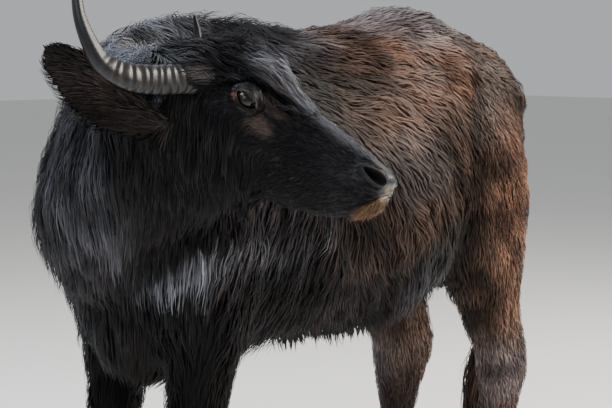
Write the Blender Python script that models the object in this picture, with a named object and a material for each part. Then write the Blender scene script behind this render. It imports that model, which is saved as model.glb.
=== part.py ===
"""Life-size still model of a water buffalo cow in her winter coat, looking back over her left shoulder.

Frame: metres, +Z up. She faces -Y, her left side is +X, and the origin is under the middle of her box
on the floor. The flesh is modelled whole, out to the tips of the coat, and parted with thin cuts.
Horns, ears, eyes, claws and tail are solids of their own, seated in sockets.

    blender --background --python part.py
"""

import math

import bmesh
import bpy
import numpy as np
from mathutils import Matrix, Vector

# ---------------------------------------------------------------- driving sizes
WITHERS_HEIGHT = 1.375
FORE_FEET_Y = -0.53  # where the fore cannons stand
HIND_FEET_Y = 0.495  # where the left hind cannon stands
RIGHT_HIND_STEP = 0.05  # the right hind foot is set this far ahead of the left one
FORE_HALF_STANCE = 0.155
HIND_HALF_STANCE = 0.17
HEAD_LENGTH = 0.510  # from poll to upper lip
EYE_RADIUS = 0.0205
HORN_TIP_HALF = 0.268  # tip of a horn to the middle of the head
EAR_LENGTH = 0.266
HOOF_HEIGHT = 0.068
FORE_CUT = 0.495  # levels where the legs leave the trunk
HIND_CUT = 0.575
HOOF_LENGTH = 0.124
CLAW_WIDTH = 0.056

# Where the head is held: the poll, and the turn, droop and tilt of the face
POLL = Vector((0.410, -0.765, 1.29))
HEAD_HEADING = math.radians(27.5)  # from +X towards +Y
HEAD_DROOP = math.radians(31.4)
HEAD_TILT = math.radians(8.5)  # right side up

# ---------------------------------------------------------------- making sizes
PART_GAP = 0.0004  # between neighbouring solids
VOXEL = 0.00912
TRIANGLES = {"head": 1400, "neck": 560, "trunk": 2010}
LEG_TRIANGLES = 290
UP = Vector((0, 0, 1))


# ---------------------------------------------------------------- mesh helpers
def smooth_rows(rows, steps):
    """Rows of station values with `steps` intervals between each pair, on a Catmull-Rom curve."""
    rows = np.array(rows, float)
    ends = np.vstack([2 * rows[0] - rows[1], rows, 2 * rows[-1] - rows[-2]])
    made = []
    for i in range(1, len(rows)):
        before, start, end, after = ends[i - 1 : i + 3]
        for t in np.arange(steps) / steps:
            made.append(
                0.5 * (2 * start + (end - before) * t
                       + (2 * before - 5 * start + 4 * end - after) * t**2
                       + (3 * start - before - 3 * end + after) * t**3)
            )
    made.append(rows[-1])
    return np.array(made)


def oval(centre, side, up, half_width, top, bottom, crown=2.0, keel=2.0, count=24):
    """A ring round `centre`: an ellipse whose upper and lower halves have their own height and fullness."""
    points = []
    for step in range(count):
        angle = 2 * math.pi * step / count
        across, rise = math.cos(angle), math.sin(angle)
        fullness = crown if rise >= 0 else keel
        reach = half_width * math.copysign(abs(across) ** (2 / fullness), across)
        height = (top if rise >= 0 else bottom) * math.copysign(abs(rise) ** (2 / fullness), rise)
        points.append(Vector(centre) + Vector(side) * reach + Vector(up) * height)
    return points


def loft(name, rings, material=None):
    """A closed solid through rings of equal count, with a fan over each end."""
    mesh = bmesh.new()
    loops = [[mesh.verts.new(p) for p in ring] for ring in rings]
    count = len(loops[0])
    for one, other in zip(loops, loops[1:]):
        for i in range(count):
            j = (i + 1) % count
            mesh.faces.new((one[i], one[j], other[j], other[i]))
    for end in (loops[0], loops[-1]):
        middle = mesh.verts.new(sum((v.co for v in end), Vector()) / count)
        for i in range(count):
            mesh.faces.new((end[i], end[(i + 1) % count], middle))
    bmesh.ops.recalc_face_normals(mesh, faces=mesh.faces)
    return add_object(name, mesh, material)


def ball(name, centre, radii, turn=None, material=None, segments=16, rings=10):
    """An ellipsoid."""
    mesh = bmesh.new()
    bmesh.ops.create_uvsphere(mesh, u_segments=segments, v_segments=rings, radius=1)
    turn = (turn or Matrix.Identity(3)).to_4x4()
    mesh.transform(Matrix.Translation(centre) @ turn @ Matrix.Diagonal((*radii, 1)))
    return add_object(name, mesh, material)


def box(name, frame, low, high, grow=0.0):
    """A box with corners `low` and `high` in a frame (4x4), its sides moved out by `grow`."""
    mesh = bmesh.new()
    bmesh.ops.create_cube(mesh, size=1)
    low, high = Vector(low) - Vector((grow,) * 3), Vector(high) + Vector((grow,) * 3)
    mesh.transform(frame @ Matrix.Translation((low + high) / 2) @ Matrix.Diagonal((*(high - low), 1)))
    return add_object(name, mesh)


def add_object(name, mesh, material=None):
    """Puts a bmesh into the scene as an object."""
    data = bpy.data.meshes.new(name)
    mesh.to_mesh(data)
    mesh.free()
    made = bpy.data.objects.new(name, data)
    bpy.context.scene.collection.objects.link(made)
    if material:
        data.materials.append(material)
    return made


def remove(*objects):
    for item in objects:
        bpy.data.objects.remove(item)


def apply_modifier(target, kind, **settings):
    """Adds one modifier, with its settings, and bakes its result into the mesh."""
    modifier = target.modifiers.new(kind.lower(), kind)
    for key, value in settings.items():
        setattr(modifier, key, value)
    graph = bpy.context.evaluated_depsgraph_get()
    result = bpy.data.meshes.new_from_object(target.evaluated_get(graph))
    target.modifiers.clear()
    target.data = result
    return target


def join(name, pieces):
    """One object holding all the pieces' faces, still as separate shells."""
    mesh = bmesh.new()
    for piece in pieces:
        mesh.from_mesh(piece.data)
    remove(*pieces)
    return add_object(name, mesh)


def copy_of(source, name):
    made = bpy.data.objects.new(name, source.data.copy())
    bpy.context.scene.collection.objects.link(made)
    return made


def cut(target, cutter, operation="DIFFERENCE"):
    """A Boolean of target with cutter, which is then removed."""
    apply_modifier(target, "BOOLEAN", object=cutter, operation=operation, solver="EXACT")
    remove(cutter)
    return target


def surface(name, colour, roughness):
    """A plain Principled material."""
    made = bpy.data.materials.new(name)
    made.use_nodes = True
    shader = made.node_tree.nodes["Principled BSDF"]
    shader.inputs["Base Color"].default_value = (*colour, 1)
    shader.inputs["Roughness"].default_value = roughness
    shader.inputs["Metallic"].default_value = 0.0
    return made


# ---------------------------------------------------------------- frames of the head and neck
def head_frame():
    """Matrix from head measures (forward, left, up, from the poll) to the body's frame."""
    heading = Vector((math.cos(HEAD_HEADING), math.sin(HEAD_HEADING), 0))
    forward = heading * math.cos(HEAD_DROOP) - UP * math.sin(HEAD_DROOP)
    level_left = UP.cross(heading)
    level_up = forward.cross(level_left)
    left = level_left * math.cos(HEAD_TILT) - level_up * math.sin(HEAD_TILT)
    up = level_up * math.cos(HEAD_TILT) + level_left * math.sin(HEAD_TILT)
    frame = Matrix((forward, left, up)).transposed().to_4x4()
    frame.translation = POLL
    return frame


HEAD = head_frame()


# ---------------------------------------------------------------- trunk
# station:      y,    middle, top,   bottom, half width, crown, keel
TRUNK = (
    (-0.700, 0.80, 0.92, 0.650, 0.080, 2.0, 2.0),  # breast
    (-0.655, 0.82, 1.06, 0.570, 0.165, 2.0, 1.9),  # points of the shoulders
    (-0.580, 0.86, 1.19, 0.528, 0.215, 2.0, 1.8),  # brisket
    (-0.480, 0.88, 1.30, 0.525, 0.245, 1.8, 1.8),
    (-0.380, 0.90, 1.36, 0.530, 0.265, 1.7, 1.9),
    (-0.270, 0.90, WITHERS_HEIGHT, 0.560, 0.285, 1.6, 2.0),  # withers
    (-0.100, 0.89, 1.341, 0.570, 0.310, 1.7, 2.1),  # girth
    (0.040, 0.88, 1.352, 0.566, 0.325, 1.8, 2.1),  # barrel
    (0.150, 0.88, 1.380, 0.566, 0.310, 1.8, 2.1),  # paunch
    (0.230, 0.91, 1.401, 0.588, 0.276, 1.8, 2.0),  # loin
    (0.310, 0.95, 1.394, 0.650, 0.246, 2.2, 2.0),  # hips
    (0.420, 0.99, 1.354, 0.730, 0.222, 2.0, 2.0),
    (0.520, 1.02, 1.322, 0.770, 0.200, 2.0, 2.0),  # rump
    (0.594, 1.03, 1.294, 0.810, 0.168, 2.1, 2.0),
    (0.650, 1.03, 1.248, 0.870, 0.120, 2.0, 2.0),  # tail head
    (0.686, 1.03, 1.165, 0.930, 0.064, 2.0, 2.0),
)
HIP_BONE = Vector((0.146, 0.300, 1.215))
HIP_BONE_RADII = (0.082, 0.100, 0.065)
FLANK = Vector((0.150, 0.350, 1.040))
FLANK_RADII = (0.085, 0.140, 0.220)
PIN_BONE = Vector((0.090, 0.584, 1.135))
PIN_BONE_RADII = (0.070, 0.085, 0.080)
UDDER = Vector((0, 0.400, 0.700))
UDDER_RADII = (0.100, 0.130, 0.085)


def trunk_shapes():
    """Barrel, hip bones, pin bones and udder."""
    rings = []
    for y, middle, top, bottom, half_width, crown, keel in smooth_rows(TRUNK, 4):
        centre = Vector((0, y, middle))
        rings.append(oval(centre, (1, 0, 0), UP, half_width, top - middle, middle - bottom, crown, keel, 36))
    shapes = [loft("barrel", rings), ball("udder", UDDER, UDDER_RADII)]
    for side in (-1, 1):
        for spot, radii in ((HIP_BONE, HIP_BONE_RADII), (FLANK, FLANK_RADII), (PIN_BONE, PIN_BONE_RADII)):
            shapes.append(ball("bone", (spot.x * side, spot.y, spot.z), radii))
    return shapes


# ---------------------------------------------------------------- neck
# The neck leaves the shoulders and bends round to the back of the head.
# station:     x,      y,     z,   half width, rise, drop, crown
NECK = (
    (0.000, -0.280, 0.960, 0.200, 0.400, 0.360, 1.7),
    (0.000, -0.450, 0.945, 0.200, 0.442, 0.335, 1.6),
    (0.012, -0.585, 0.930, 0.192, 0.436, 0.300, 1.45),
    (0.072, -0.688, 0.935, 0.178, 0.396, 0.245, 1.35),
    (0.170, -0.750, 0.975, 0.158, 0.342, 0.205, 1.35),
    (0.280, -0.772, 1.045, 0.134, 0.268, 0.190, 1.6),
    (0.380, -0.748, 1.080, 0.120, 0.200, 0.180, 1.8),
    (0.460, -0.710, 1.090, 0.095, 0.150, 0.150, 2.0),
)


def neck_shapes():
    """The bent neck, crest to dewlap."""
    rows = smooth_rows(NECK, 4)
    rings = []
    for i, (x, y, z, half_width, rise, drop, crown) in enumerate(rows):
        ahead = Vector(rows[min(i + 1, len(rows) - 1)][:3]) - Vector(rows[max(i - 1, 0)][:3])
        ahead.z = 0
        side = UP.cross(ahead.normalized())
        rings.append(oval((x, y, z), side, UP, half_width, rise, drop, crown, 1.9, 28))
    return [loft("neck", rings)]


# ---------------------------------------------------------------- head, in head measures
# station: forward, middle,  top,   bottom, half width, crown, keel
SKULL = (
    (-0.080, -0.100, -0.040, -0.200, 0.070, 2.0, 2.0),  # nape
    (-0.030, -0.090, -0.006, -0.255, 0.095, 2.0, 2.0),
    (0.035, -0.070, 0.049, -0.285, 0.108, 2.0, 1.9),  # poll, between the horns
    (0.075, -0.062, 0.087, -0.290, 0.110, 1.95, 1.8),
    (0.110, -0.056, 0.108, -0.288, 0.110, 1.95, 1.8),  # forelock
    (0.160, -0.050, 0.107, -0.277, 0.107, 1.95, 1.8),  # brow
    (0.190, -0.050, 0.098, -0.266, 0.102, 2.0, 1.8),
    (0.215, -0.050, 0.082, -0.255, 0.097, 2.0, 1.8),  # eyes
    (0.258, -0.050, 0.055, -0.232, 0.085, 2.1, 1.8),
    (0.310, -0.048, 0.045, -0.198, 0.070, 2.2, 1.8),  # bridge of the nose
    (0.370, -0.044, 0.042, -0.158, 0.060, 2.3, 1.9),
    (0.425, -0.040, 0.035, -0.122, 0.057, 2.4, 2.0),  # behind the nostrils
    (0.462, -0.036, 0.031, -0.095, 0.059, 2.4, 2.1),  # nostrils
    (0.486, -0.030, 0.022, -0.076, 0.055, 2.3, 2.1),  # muzzle
    (0.501, -0.026, 0.007, -0.056, 0.042, 2.2, 2.1),
    (HEAD_LENGTH, -0.024, -0.010, -0.038, 0.022, 2.0, 2.0),  # upper lip
)
EYE = Vector((0.205, 0.088, -0.006))
BROW = Vector((0.190, 0.068, 0.016))
NOSTRIL = Vector((0.482, 0.052, 0.004))
NOSTRIL_RADII = (0.022, 0.015, 0.010)
NOSTRIL_SLOPE = math.radians(-32)
MOUTH_FRONT = Vector((HEAD_LENGTH + 0.01, 0, -0.022))
MOUTH_CORNER = Vector((0.425, 0.056, -0.086))


def mirrored(point, side):
    """A head measure moved to the left (+1) or right (-1) side."""
    return Vector((point.x, point.y * side, point.z))


def head_shapes():
    """Skull and jaw with brows, cheeks, nose wings, lips and chin."""
    rings = []
    for forward, middle, top, bottom, half_width, crown, keel in smooth_rows(SKULL, 4):
        ring = oval((forward, 0, middle), (0, 1, 0), UP, half_width, top - middle, middle - bottom, crown, keel, 32)
        rings.append([HEAD @ p for p in ring])
    turn = HEAD.to_3x3()
    shapes = [loft("skull", rings)]
    for side in (-1, 1):
        for spot, radii in (
            (BROW, (0.050, 0.028, 0.022)),
            (Vector((0.250, 0.058, -0.034)), (0.060, 0.026, 0.022)),  # cheek bone
            (Vector((0.471, 0.042, 0.003)), (0.030, 0.022, 0.024)),  # wing of the nose
            (Vector((0.449, 0.034, -0.034)), (0.042, 0.028, 0.030)),  # upper lip
        ):
            shapes.append(ball("lump", HEAD @ mirrored(spot, side), radii, turn))
    shapes.append(ball("chin", HEAD @ Vector((0.458, 0, -0.062)), (0.036, 0.034, 0.024), turn))
    return shapes


def nose_holes():
    """The two nostrils, slanting down and forward, as cutters."""
    turn = HEAD.to_3x3() @ Matrix.Rotation(-NOSTRIL_SLOPE, 3, "Y")
    return [ball("nostril", HEAD @ mirrored(NOSTRIL, side), NOSTRIL_RADII, turn, segments=12, rings=8)
            for side in (-1, 1)]


# ---------------------------------------------------------------- legs
# station:  height, back, out, half width, half depth
FORE_LEG = (
    (1.160, 0.160, 0.030, 0.030, 0.060),  # shoulder blade
    (1.100, 0.130, 0.035, 0.060, 0.110),
    (0.960, 0.050, 0.040, 0.092, 0.155),
    (0.820, 0.000, 0.036, 0.100, 0.155),  # upper arm
    (0.700, 0.020, 0.020, 0.094, 0.132),  # elbow
    (0.580, 0.015, 0.008, 0.079, 0.102),  # forearm
    (0.480, 0.005, 0.000, 0.066, 0.080),
    (0.415, -0.003, 0.000, 0.064, 0.069),  # knee
    (0.350, 0.004, 0.000, 0.054, 0.058),
    (0.250, 0.006, 0.000, 0.047, 0.050),  # cannon
    (0.165, 0.000, 0.000, 0.057, 0.058),  # fetlock
    (0.115, -0.018, 0.000, 0.054, 0.052),  # pastern
    (0.055, -0.032, 0.000, 0.062, 0.064),  # coronet
)
HIND_LEG = (
    (1.200, -0.130, -0.030, 0.030, 0.060),
    (1.140, -0.110, -0.010, 0.070, 0.120),  # hip joint
    (1.020, -0.092, 0.000, 0.105, 0.150),
    (0.880, -0.086, 0.008, 0.106, 0.152),  # thigh
    (0.760, -0.087, 0.010, 0.096, 0.146),  # stifle
    (0.650, -0.071, 0.006, 0.082, 0.127),
    (0.560, -0.034, 0.002, 0.068, 0.104),  # second thigh
    (0.480, 0.005, 0.000, 0.060, 0.094),
    (0.420, 0.014, 0.000, 0.058, 0.090),  # hock
    (0.340, 0.004, 0.000, 0.052, 0.066),
    (0.260, 0.000, 0.000, 0.048, 0.053),  # cannon
    (0.175, 0.000, 0.000, 0.058, 0.060),  # fetlock
    (0.120, -0.018, 0.000, 0.054, 0.054),  # pastern
    (0.055, -0.032, 0.000, 0.061, 0.063),  # coronet
)


class Leg:
    """One leg: its name, stations, side (+1 left) and where its foot stands."""

    def __init__(self, name, stations, side, half_stance, foot_y, lean=0.0, girth=1.0):
        self.name = name
        self.stations = stations
        self.side = side
        self.foot = Vector((side * half_stance, foot_y, 0))
        self.lean = lean  # how far the top of the leg is behind its foot
        self.girth = girth  # how much stouter it is about the hock

    def shapes(self):
        """The leg from its top down to the coronet."""
        rings = []
        reach = self.stations[0][0]
        for height, back, out, half_width, half_depth in smooth_rows(self.stations, 3):
            shift = self.lean * height / reach
            stout = 1 + (self.girth - 1) * ramp(height, 0.20, 0.34) * (1 - ramp(height, 0.55, 0.80))
            half_width, half_depth = half_width * stout, half_depth * stout
            centre = self.foot + Vector((self.side * out, back + shift, height))
            rings.append(oval(centre, (1, 0, 0), (0, 1, 0), half_width, half_depth, half_depth, 2, 2, 20))
        return [loft(self.name, rings)]


LEGS = (
    Leg("left_foreleg", FORE_LEG, 1, FORE_HALF_STANCE, FORE_FEET_Y),
    Leg("right_foreleg", FORE_LEG, -1, FORE_HALF_STANCE, FORE_FEET_Y),
    Leg("left_hind_leg", HIND_LEG, 1, HIND_HALF_STANCE, HIND_FEET_Y),
    Leg("right_hind_leg", HIND_LEG, -1, HIND_HALF_STANCE, HIND_FEET_Y - RIGHT_HIND_STEP, RIGHT_HIND_STEP,
        1.20),
)


def eye(name, side, material):
    """One eyeball."""
    return ball(name, HEAD @ mirrored(EYE, side), (EYE_RADIUS,) * 3, None, material, 12, 7)


# ---------------------------------------------------------------- horns, in head measures
# station: forward,  out,    up,   half width, half thickness
HORN = (
    (0.126, 0.050, -0.014, 0.0240, 0.0190),
    (0.108, 0.089, -0.024, 0.0262, 0.0205),
    (0.090, 0.130, -0.038, 0.0275, 0.0215),
    (0.065, 0.179, -0.062, 0.0270, 0.0210),
    (0.036, 0.225, -0.078, 0.0245, 0.0190),
    (0.000, 0.260, -0.078, 0.0208, 0.0165),
    (-0.035, 0.278, -0.058, 0.0160, 0.0135),
    (-0.073, 0.286, -0.028, 0.0118, 0.0103),
    (-0.110, 0.281, 0.011, 0.0085, 0.0077),
    (-0.138, HORN_TIP_HALF, 0.039, 0.0030, 0.0030),
)
HORN_FACE = Vector((0.80, 0.10, 0.60))  # the broad side of a horn looks forward and up
HORN_SWING = {1: (0.030, 0.0, 0.010), -1: (0.0, 0.0, 0.0)}  # how far each tip is carried forward, out and up


def horn(name, side, material):
    """One horn: out and back from the poll, then up, flattened fore and aft."""
    rows = smooth_rows(HORN, 2)
    for i, row in enumerate(rows):
        row[:3] += np.array(HORN_SWING[side]) * (i / (len(rows) - 1)) ** 1.5
    rings = []
    for i, (forward, out, rise, half_width, half_thickness) in enumerate(rows):
        ahead = Vector(rows[min(i + 1, len(rows) - 1)][:3]) - Vector(rows[max(i - 1, 0)][:3])
        ahead.normalize()
        face = (HORN_FACE - ahead * HORN_FACE.dot(ahead)).normalized()
        edge = ahead.cross(face)
        under = half_thickness * 1.15
        ring = oval((forward, out, rise), edge, face, half_width, half_thickness, under, 2.4, 1.8, 10)
        rings.append([HEAD @ mirrored(p, side) for p in ring])
    return loft(name, rings, material)


# ---------------------------------------------------------------- ears, in head measures
EAR_ROOT = Vector((0.080, 0.085, -0.132))
EAR_AIM = {1: Vector((-0.052, 0.268, -0.014)), -1: Vector((-0.173, 0.196, 0.009))}  # the right one is laid back
EAR_OPENING = Vector((0.80, 0.55, -0.22))  # the way the mouth of the ear looks
# station: share of the length, half width, cup depth, half thickness, drop of the middle
EAR = (
    (0.00, 0.024, 0.010, 0.016, 0.000),
    (0.12, 0.033, 0.020, 0.014, 0.003),
    (0.28, 0.042, 0.026, 0.011, 0.008),
    (0.45, 0.052, 0.026, 0.009, 0.006),
    (0.62, 0.053, 0.020, 0.008, 0.000),
    (0.80, 0.041, 0.013, 0.007, -0.006),
    (0.93, 0.029, 0.007, 0.006, -0.010),
    (1.00, 0.012, 0.002, 0.004, -0.013),
)


def ear(name, side, material):
    """One ear: a leaf cupped towards its opening, thicker at the root."""
    along = EAR_AIM[side].normalized()
    face = (EAR_OPENING - along * EAR_OPENING.dot(along)).normalized()
    edge = face.cross(along)
    edge = edge if edge.z > 0 else -edge
    rings = []
    for share, half_width, cup, half_thick, drop in smooth_rows(EAR, 2):
        middle = EAR_ROOT + along * EAR_LENGTH * share - UP * drop
        ring = []
        for step in range(12):
            angle = 2 * math.pi * step / 12
            across = math.cos(angle)
            depth = cup * across**2 + half_thick * math.sin(angle)
            ring.append(HEAD @ mirrored(middle + edge * half_width * across + face * depth, side))
        rings.append(ring)
    return loft(name, rings, material)


# ---------------------------------------------------------------- tail
# station:   x,      y,     z,   radius
TAIL = (
    (0.000, 0.640, 1.170, 0.036),
    (0.000, 0.690, 1.150, 0.036),
    (0.000, 0.722, 1.090, 0.036),
    (-0.004, 0.732, 0.980, 0.033),
    (-0.015, 0.732, 0.840, 0.029),
    (-0.035, 0.728, 0.690, 0.026),
    (-0.062, 0.722, 0.550, 0.025),
    (-0.078, 0.718, 0.460, 0.030),  # the switch of long hair
    (-0.092, 0.712, 0.360, 0.038),
    (-0.100, 0.706, 0.270, 0.034),
    (-0.104, 0.702, 0.190, 0.012),
)


def tail(name, material):
    """The tail, hanging from the rump and swung a little to the right."""
    rings = []
    rows = smooth_rows(TAIL, 2)
    for i, (x, y, z, radius) in enumerate(rows):
        ahead = Vector(rows[min(i + 1, len(rows) - 1)][:3]) - Vector(rows[max(i - 1, 0)][:3])
        ahead.normalize()
        side = ahead.cross(Vector((0, 1, 0.2))).normalized()
        rings.append(oval((x, y, z), side, ahead.cross(side), radius, radius, radius, count=10))
    return loft(name, rings, material)


# ---------------------------------------------------------------- feet
# outline of a claw seen from above: share of length (toe at 1), share of width (cleft side 0)
CLAW = (
    (0.00, 0.12), (0.00, 0.55), (0.05, 0.86), (0.24, 1.00), (0.46, 1.02), (0.66, 0.96), (0.83, 0.78),
    (0.95, 0.50), (1.00, 0.22), (0.97, 0.06), (0.80, 0.00), (0.50, 0.02), (0.22, 0.00), (0.06, 0.02),
)
CLEFT = 0.004
HEEL_SPOT = -0.026  # the heel of the hoof against the cannon's line


def claw(name, leg, outward, material):
    """One claw of a hoof: flat sole, sloping toe, with its top just under the coronet."""
    rings = []
    for height, shrink, back in ((0.0, 1.0, 0.0), (0.035, 0.92, 0.011), (HOOF_HEIGHT - PART_GAP, 0.80, 0.024)):
        ring = []
        for length, width in CLAW:
            y = leg.foot.y + HEEL_SPOT - length * HOOF_LENGTH * shrink + back * (0.3 + 0.4 * length)
            x = leg.foot.x + outward * (CLEFT + width * CLAW_WIDTH * shrink)
            ring.append(Vector((x, y, height)))
        rings.append(ring)
    return loft(name, rings, material)


def dewclaw(name, leg, outward, material):
    """A small blunt claw behind the fetlock."""
    root = leg.foot + Vector((outward * 0.024, 0.030, 0.150))
    aim = Vector((outward * 0.25, 0.75, -0.60)).normalized()
    side = aim.cross(UP).normalized()
    rings = []
    for reach, radius in ((0.0, 0.014), (0.034, 0.014), (0.048, 0.007)):
        rings.append(oval(root + aim * reach, side, aim.cross(side), radius, radius, radius, count=8))
    return loft(name, rings, material)


# ---------------------------------------------------------------- assembly
def whole_flesh():
    """Trunk, neck, head and legs as one smooth skin."""
    shapes = trunk_shapes() + neck_shapes() + head_shapes()
    for leg in LEGS:
        shapes += leg.shapes()
    flesh = join("flesh", shapes)
    apply_modifier(flesh, "REMESH", mode="VOXEL", voxel_size=VOXEL)
    weigh(flesh, "soft", softness)
    apply_modifier(flesh, "SMOOTH", factor=0.5, iterations=40, vertex_group="soft")
    apply_modifier(flesh, "SMOOTH", factor=0.5, iterations=3)
    for hole in nose_holes():
        cut(flesh, hole)
    flesh.vertex_groups.clear()
    return flesh


def weigh(target, name, rule):
    """A vertex group whose weight at each vertex is rule(place)."""
    group = target.vertex_groups.new(name=name)
    for vertex in target.data.vertices:
        group.add([vertex.index], rule(vertex.co), "REPLACE")


def ramp(value, low, high):
    """0 below low, 1 above high, smooth between."""
    share = min(max((value - low) / (high - low), 0), 1)
    return share * share * (3 - 2 * share)


def softness(place):
    """Masses of the trunk and neck melt into each other; the face and lower legs keep their shape."""
    forward = (HEAD.inverted() @ place).x
    return ramp(place.z, 0.44, 0.62) * (1 - ramp(forward, 0.06, 0.20))


# Regions of the flesh: each is taken out of the rest with a thin cut
BODY = Matrix.Identity(4)


def head_region(grow):
    """In front of a plane from behind the poll to the throat."""
    frame = HEAD @ Matrix.Translation((-0.041, 0, 0)) @ Matrix.Rotation(math.radians(-20), 4, "Y")
    return box("region", frame, (0, -0.26, -0.42), (0.70, 0.21, 0.30), grow)


def neck_region(grow):
    """In front of a plane from the withers to the breast."""
    frame = Matrix.Translation((0, -0.42, 1.40)) @ Matrix.Rotation(math.radians(-22), 4, "X")
    return box("region", frame, (-0.6, -0.9, -0.80), (1.2, 0, 0.3), grow)


def leg_region(leg, grow):
    """Under a level through the forearm or the second thigh."""
    low = Vector((0.004, -0.16, -0.10))
    high = Vector((0.50, 0.25, FORE_CUT if leg.foot.y < 0 else HIND_CUT))
    if leg.side < 0:
        low.x, high.x = -high.x, -low.x
    return box("region", Matrix.Translation((0, leg.foot.y, 0)), low, high, grow)


def part_flesh(flesh, coat):
    """Head, neck and legs as solids of their own; what is left is the trunk."""
    regions = [("head", head_region), ("neck", neck_region)]
    regions += [(leg.name, lambda grow, leg=leg: leg_region(leg, grow)) for leg in LEGS]
    made = {}
    for name, region in regions:
        made[name] = cut(copy_of(flesh, name), region(0.0), "INTERSECT")
        cut(flesh, region(PART_GAP))
    flesh.name = "trunk"
    made["trunk"] = flesh
    for item in made.values():
        weld(item)
        faces = sum(len(p.vertices) - 2 for p in item.data.polygons)
        apply_modifier(item, "DECIMATE", ratio=TRIANGLES.get(item.name, LEG_TRIANGLES) / faces)
        item.data.materials.clear()
        item.data.materials.append(coat)
    return made


def weld(target):
    """Merges the slivers a cut leaves along its edge."""
    mesh = bmesh.new()
    mesh.from_mesh(target.data)
    bmesh.ops.remove_doubles(mesh, verts=mesh.verts, dist=0.0001)
    bmesh.ops.dissolve_degenerate(mesh, edges=mesh.edges, dist=0.0001)
    bmesh.ops.triangulate(mesh, faces=mesh.faces)
    mesh.to_mesh(target.data)
    mesh.free()


def seat(target, solid):
    """A socket in target for a solid, wider than it by a gap all round."""
    socket = copy_of(solid, "socket")
    places = [v.co + v.normal * 2.5 * PART_GAP for v in socket.data.vertices]
    for vertex, place in zip(socket.data.vertices, places):
        vertex.co = place
    cut(target, socket)


def main():
    for item in list(bpy.data.objects):
        bpy.data.objects.remove(item)
    coat = surface("coat", (0.035, 0.028, 0.025), 0.75)
    horn_stuff = surface("horn", (0.16, 0.14, 0.12), 0.45)
    hoof = surface("hoof", (0.05, 0.045, 0.04), 0.5)
    eyeball = surface("eye", (0.015, 0.010, 0.008), 0.08)
    made = part_flesh(whole_flesh(), coat)
    for word, side in (("left", 1), ("right", -1)):
        seat(made["head"], horn(word + "_horn", side, horn_stuff))
        seat(made["head"], ear(word + "_ear", side, coat))
        seat(made["head"], eye(word + "_eye", side, eyeball))
    seat(made["trunk"], tail("tail", coat))
    for leg in LEGS:
        level_end(made[leg.name])
        for word, outward in (("outer", leg.side), ("inner", -leg.side)):
            claw(leg.name + "_" + word + "_claw", leg, outward, hoof)
            seat(made[leg.name], dewclaw(leg.name + "_" + word + "_dewclaw", leg, outward, hoof))
    centre_on_floor()


def level_end(leg):
    """Cuts a leg off flat at the top of its hoof."""
    cut(leg, box("region", BODY, (-1, -1.5, -1), (1, 1.5, HOOF_HEIGHT)))


def centre_on_floor():
    """Moves everything so that the box of the whole stands on z=0 with its middle over the origin."""
    solids = [item for item in bpy.data.objects if item.type == "MESH"]
    places = np.array([v.co for item in solids for v in item.data.vertices])
    low, high = places.min(axis=0), places.max(axis=0)
    shift = Vector((-(low[0] + high[0]) / 2, -(low[1] + high[1]) / 2, -low[2]))
    for item in solids:
        item.data.transform(Matrix.Translation(shift))
        for face in item.data.polygons:
            face.use_smooth = item.name.endswith(("horn", "eye", "tail"))


main()
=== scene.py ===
"""Life-size museum model of a water buffalo cow in her winter coat.

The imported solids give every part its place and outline. One skin stands for the flesh, inside it by
the depth of the coat. Over it lie tapered locks of hair, each a closed solid, laid along a field that
says which way the coat falls. Horns, hooves and eyes are pieces of their own.
"""

import logging
import math
from dataclasses import dataclass, field
from enum import Enum
from typing import Callable, Dict, List, Sequence, Tuple

import bmesh
import bpy
import numpy as np
from mathutils import Matrix, Vector
from mathutils.bvhtree import BVHTree


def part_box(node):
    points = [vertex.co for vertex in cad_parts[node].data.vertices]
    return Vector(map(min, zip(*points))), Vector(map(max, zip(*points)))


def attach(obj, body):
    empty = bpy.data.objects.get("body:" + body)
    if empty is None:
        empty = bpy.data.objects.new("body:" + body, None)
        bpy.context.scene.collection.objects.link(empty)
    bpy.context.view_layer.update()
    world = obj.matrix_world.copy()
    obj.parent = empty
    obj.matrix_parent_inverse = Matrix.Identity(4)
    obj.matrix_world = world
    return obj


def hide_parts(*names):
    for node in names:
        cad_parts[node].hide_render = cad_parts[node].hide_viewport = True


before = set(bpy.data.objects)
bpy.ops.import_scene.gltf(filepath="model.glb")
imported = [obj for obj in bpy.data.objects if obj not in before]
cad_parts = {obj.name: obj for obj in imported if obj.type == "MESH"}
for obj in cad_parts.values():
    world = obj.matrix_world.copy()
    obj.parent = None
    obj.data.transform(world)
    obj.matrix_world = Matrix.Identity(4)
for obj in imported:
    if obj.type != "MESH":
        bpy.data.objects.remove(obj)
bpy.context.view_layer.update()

LOG = logging.getLogger("buffalo")
Array = np.ndarray
Triple = Tuple[float, float, float]
Rows = Tuple[Tuple[float, ...], ...]
Socket, Object = bpy.types.NodeSocket, bpy.types.Object
Mesh, Material = bpy.types.Mesh, bpy.types.Material
Verts = List[bmesh.types.BMVert]
UP = Vector((0.0, 0.0, 1.0))
BODY = "root"
SIDES = ((1, "left"), (-1, "right"))


# ---- small tools
def ramp(value: Array, low: float, high: float) -> Array:
    """Smooth step of value: 0 at low, 1 at high."""
    share = np.clip((value - low) / (high - low), 0.0, 1.0)
    return share * share * (3.0 - 2.0 * share)


def unit(vectors: Array) -> Array:
    """The vectors at length 1."""
    return vectors / np.maximum(np.linalg.norm(vectors, axis=-1, keepdims=True), 1e-9)


def dots(one: Array, other: Array) -> Array:
    """Row by row scalar products, kept as a column."""
    return (one * other).sum(-1, keepdims=True)


def across_from(direction: Array, axis: Array) -> Array:
    """The direction without its share along the axis, at length 1."""
    return unit(direction - axis * (direction @ axis))


def oval(points: Array, middle: Triple, radii: Triple) -> Array:
    """How far each place is from the middle of an oval, 1 being its edge."""
    return np.linalg.norm((points - np.array(middle)) / np.array(radii), axis=-1)


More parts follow.
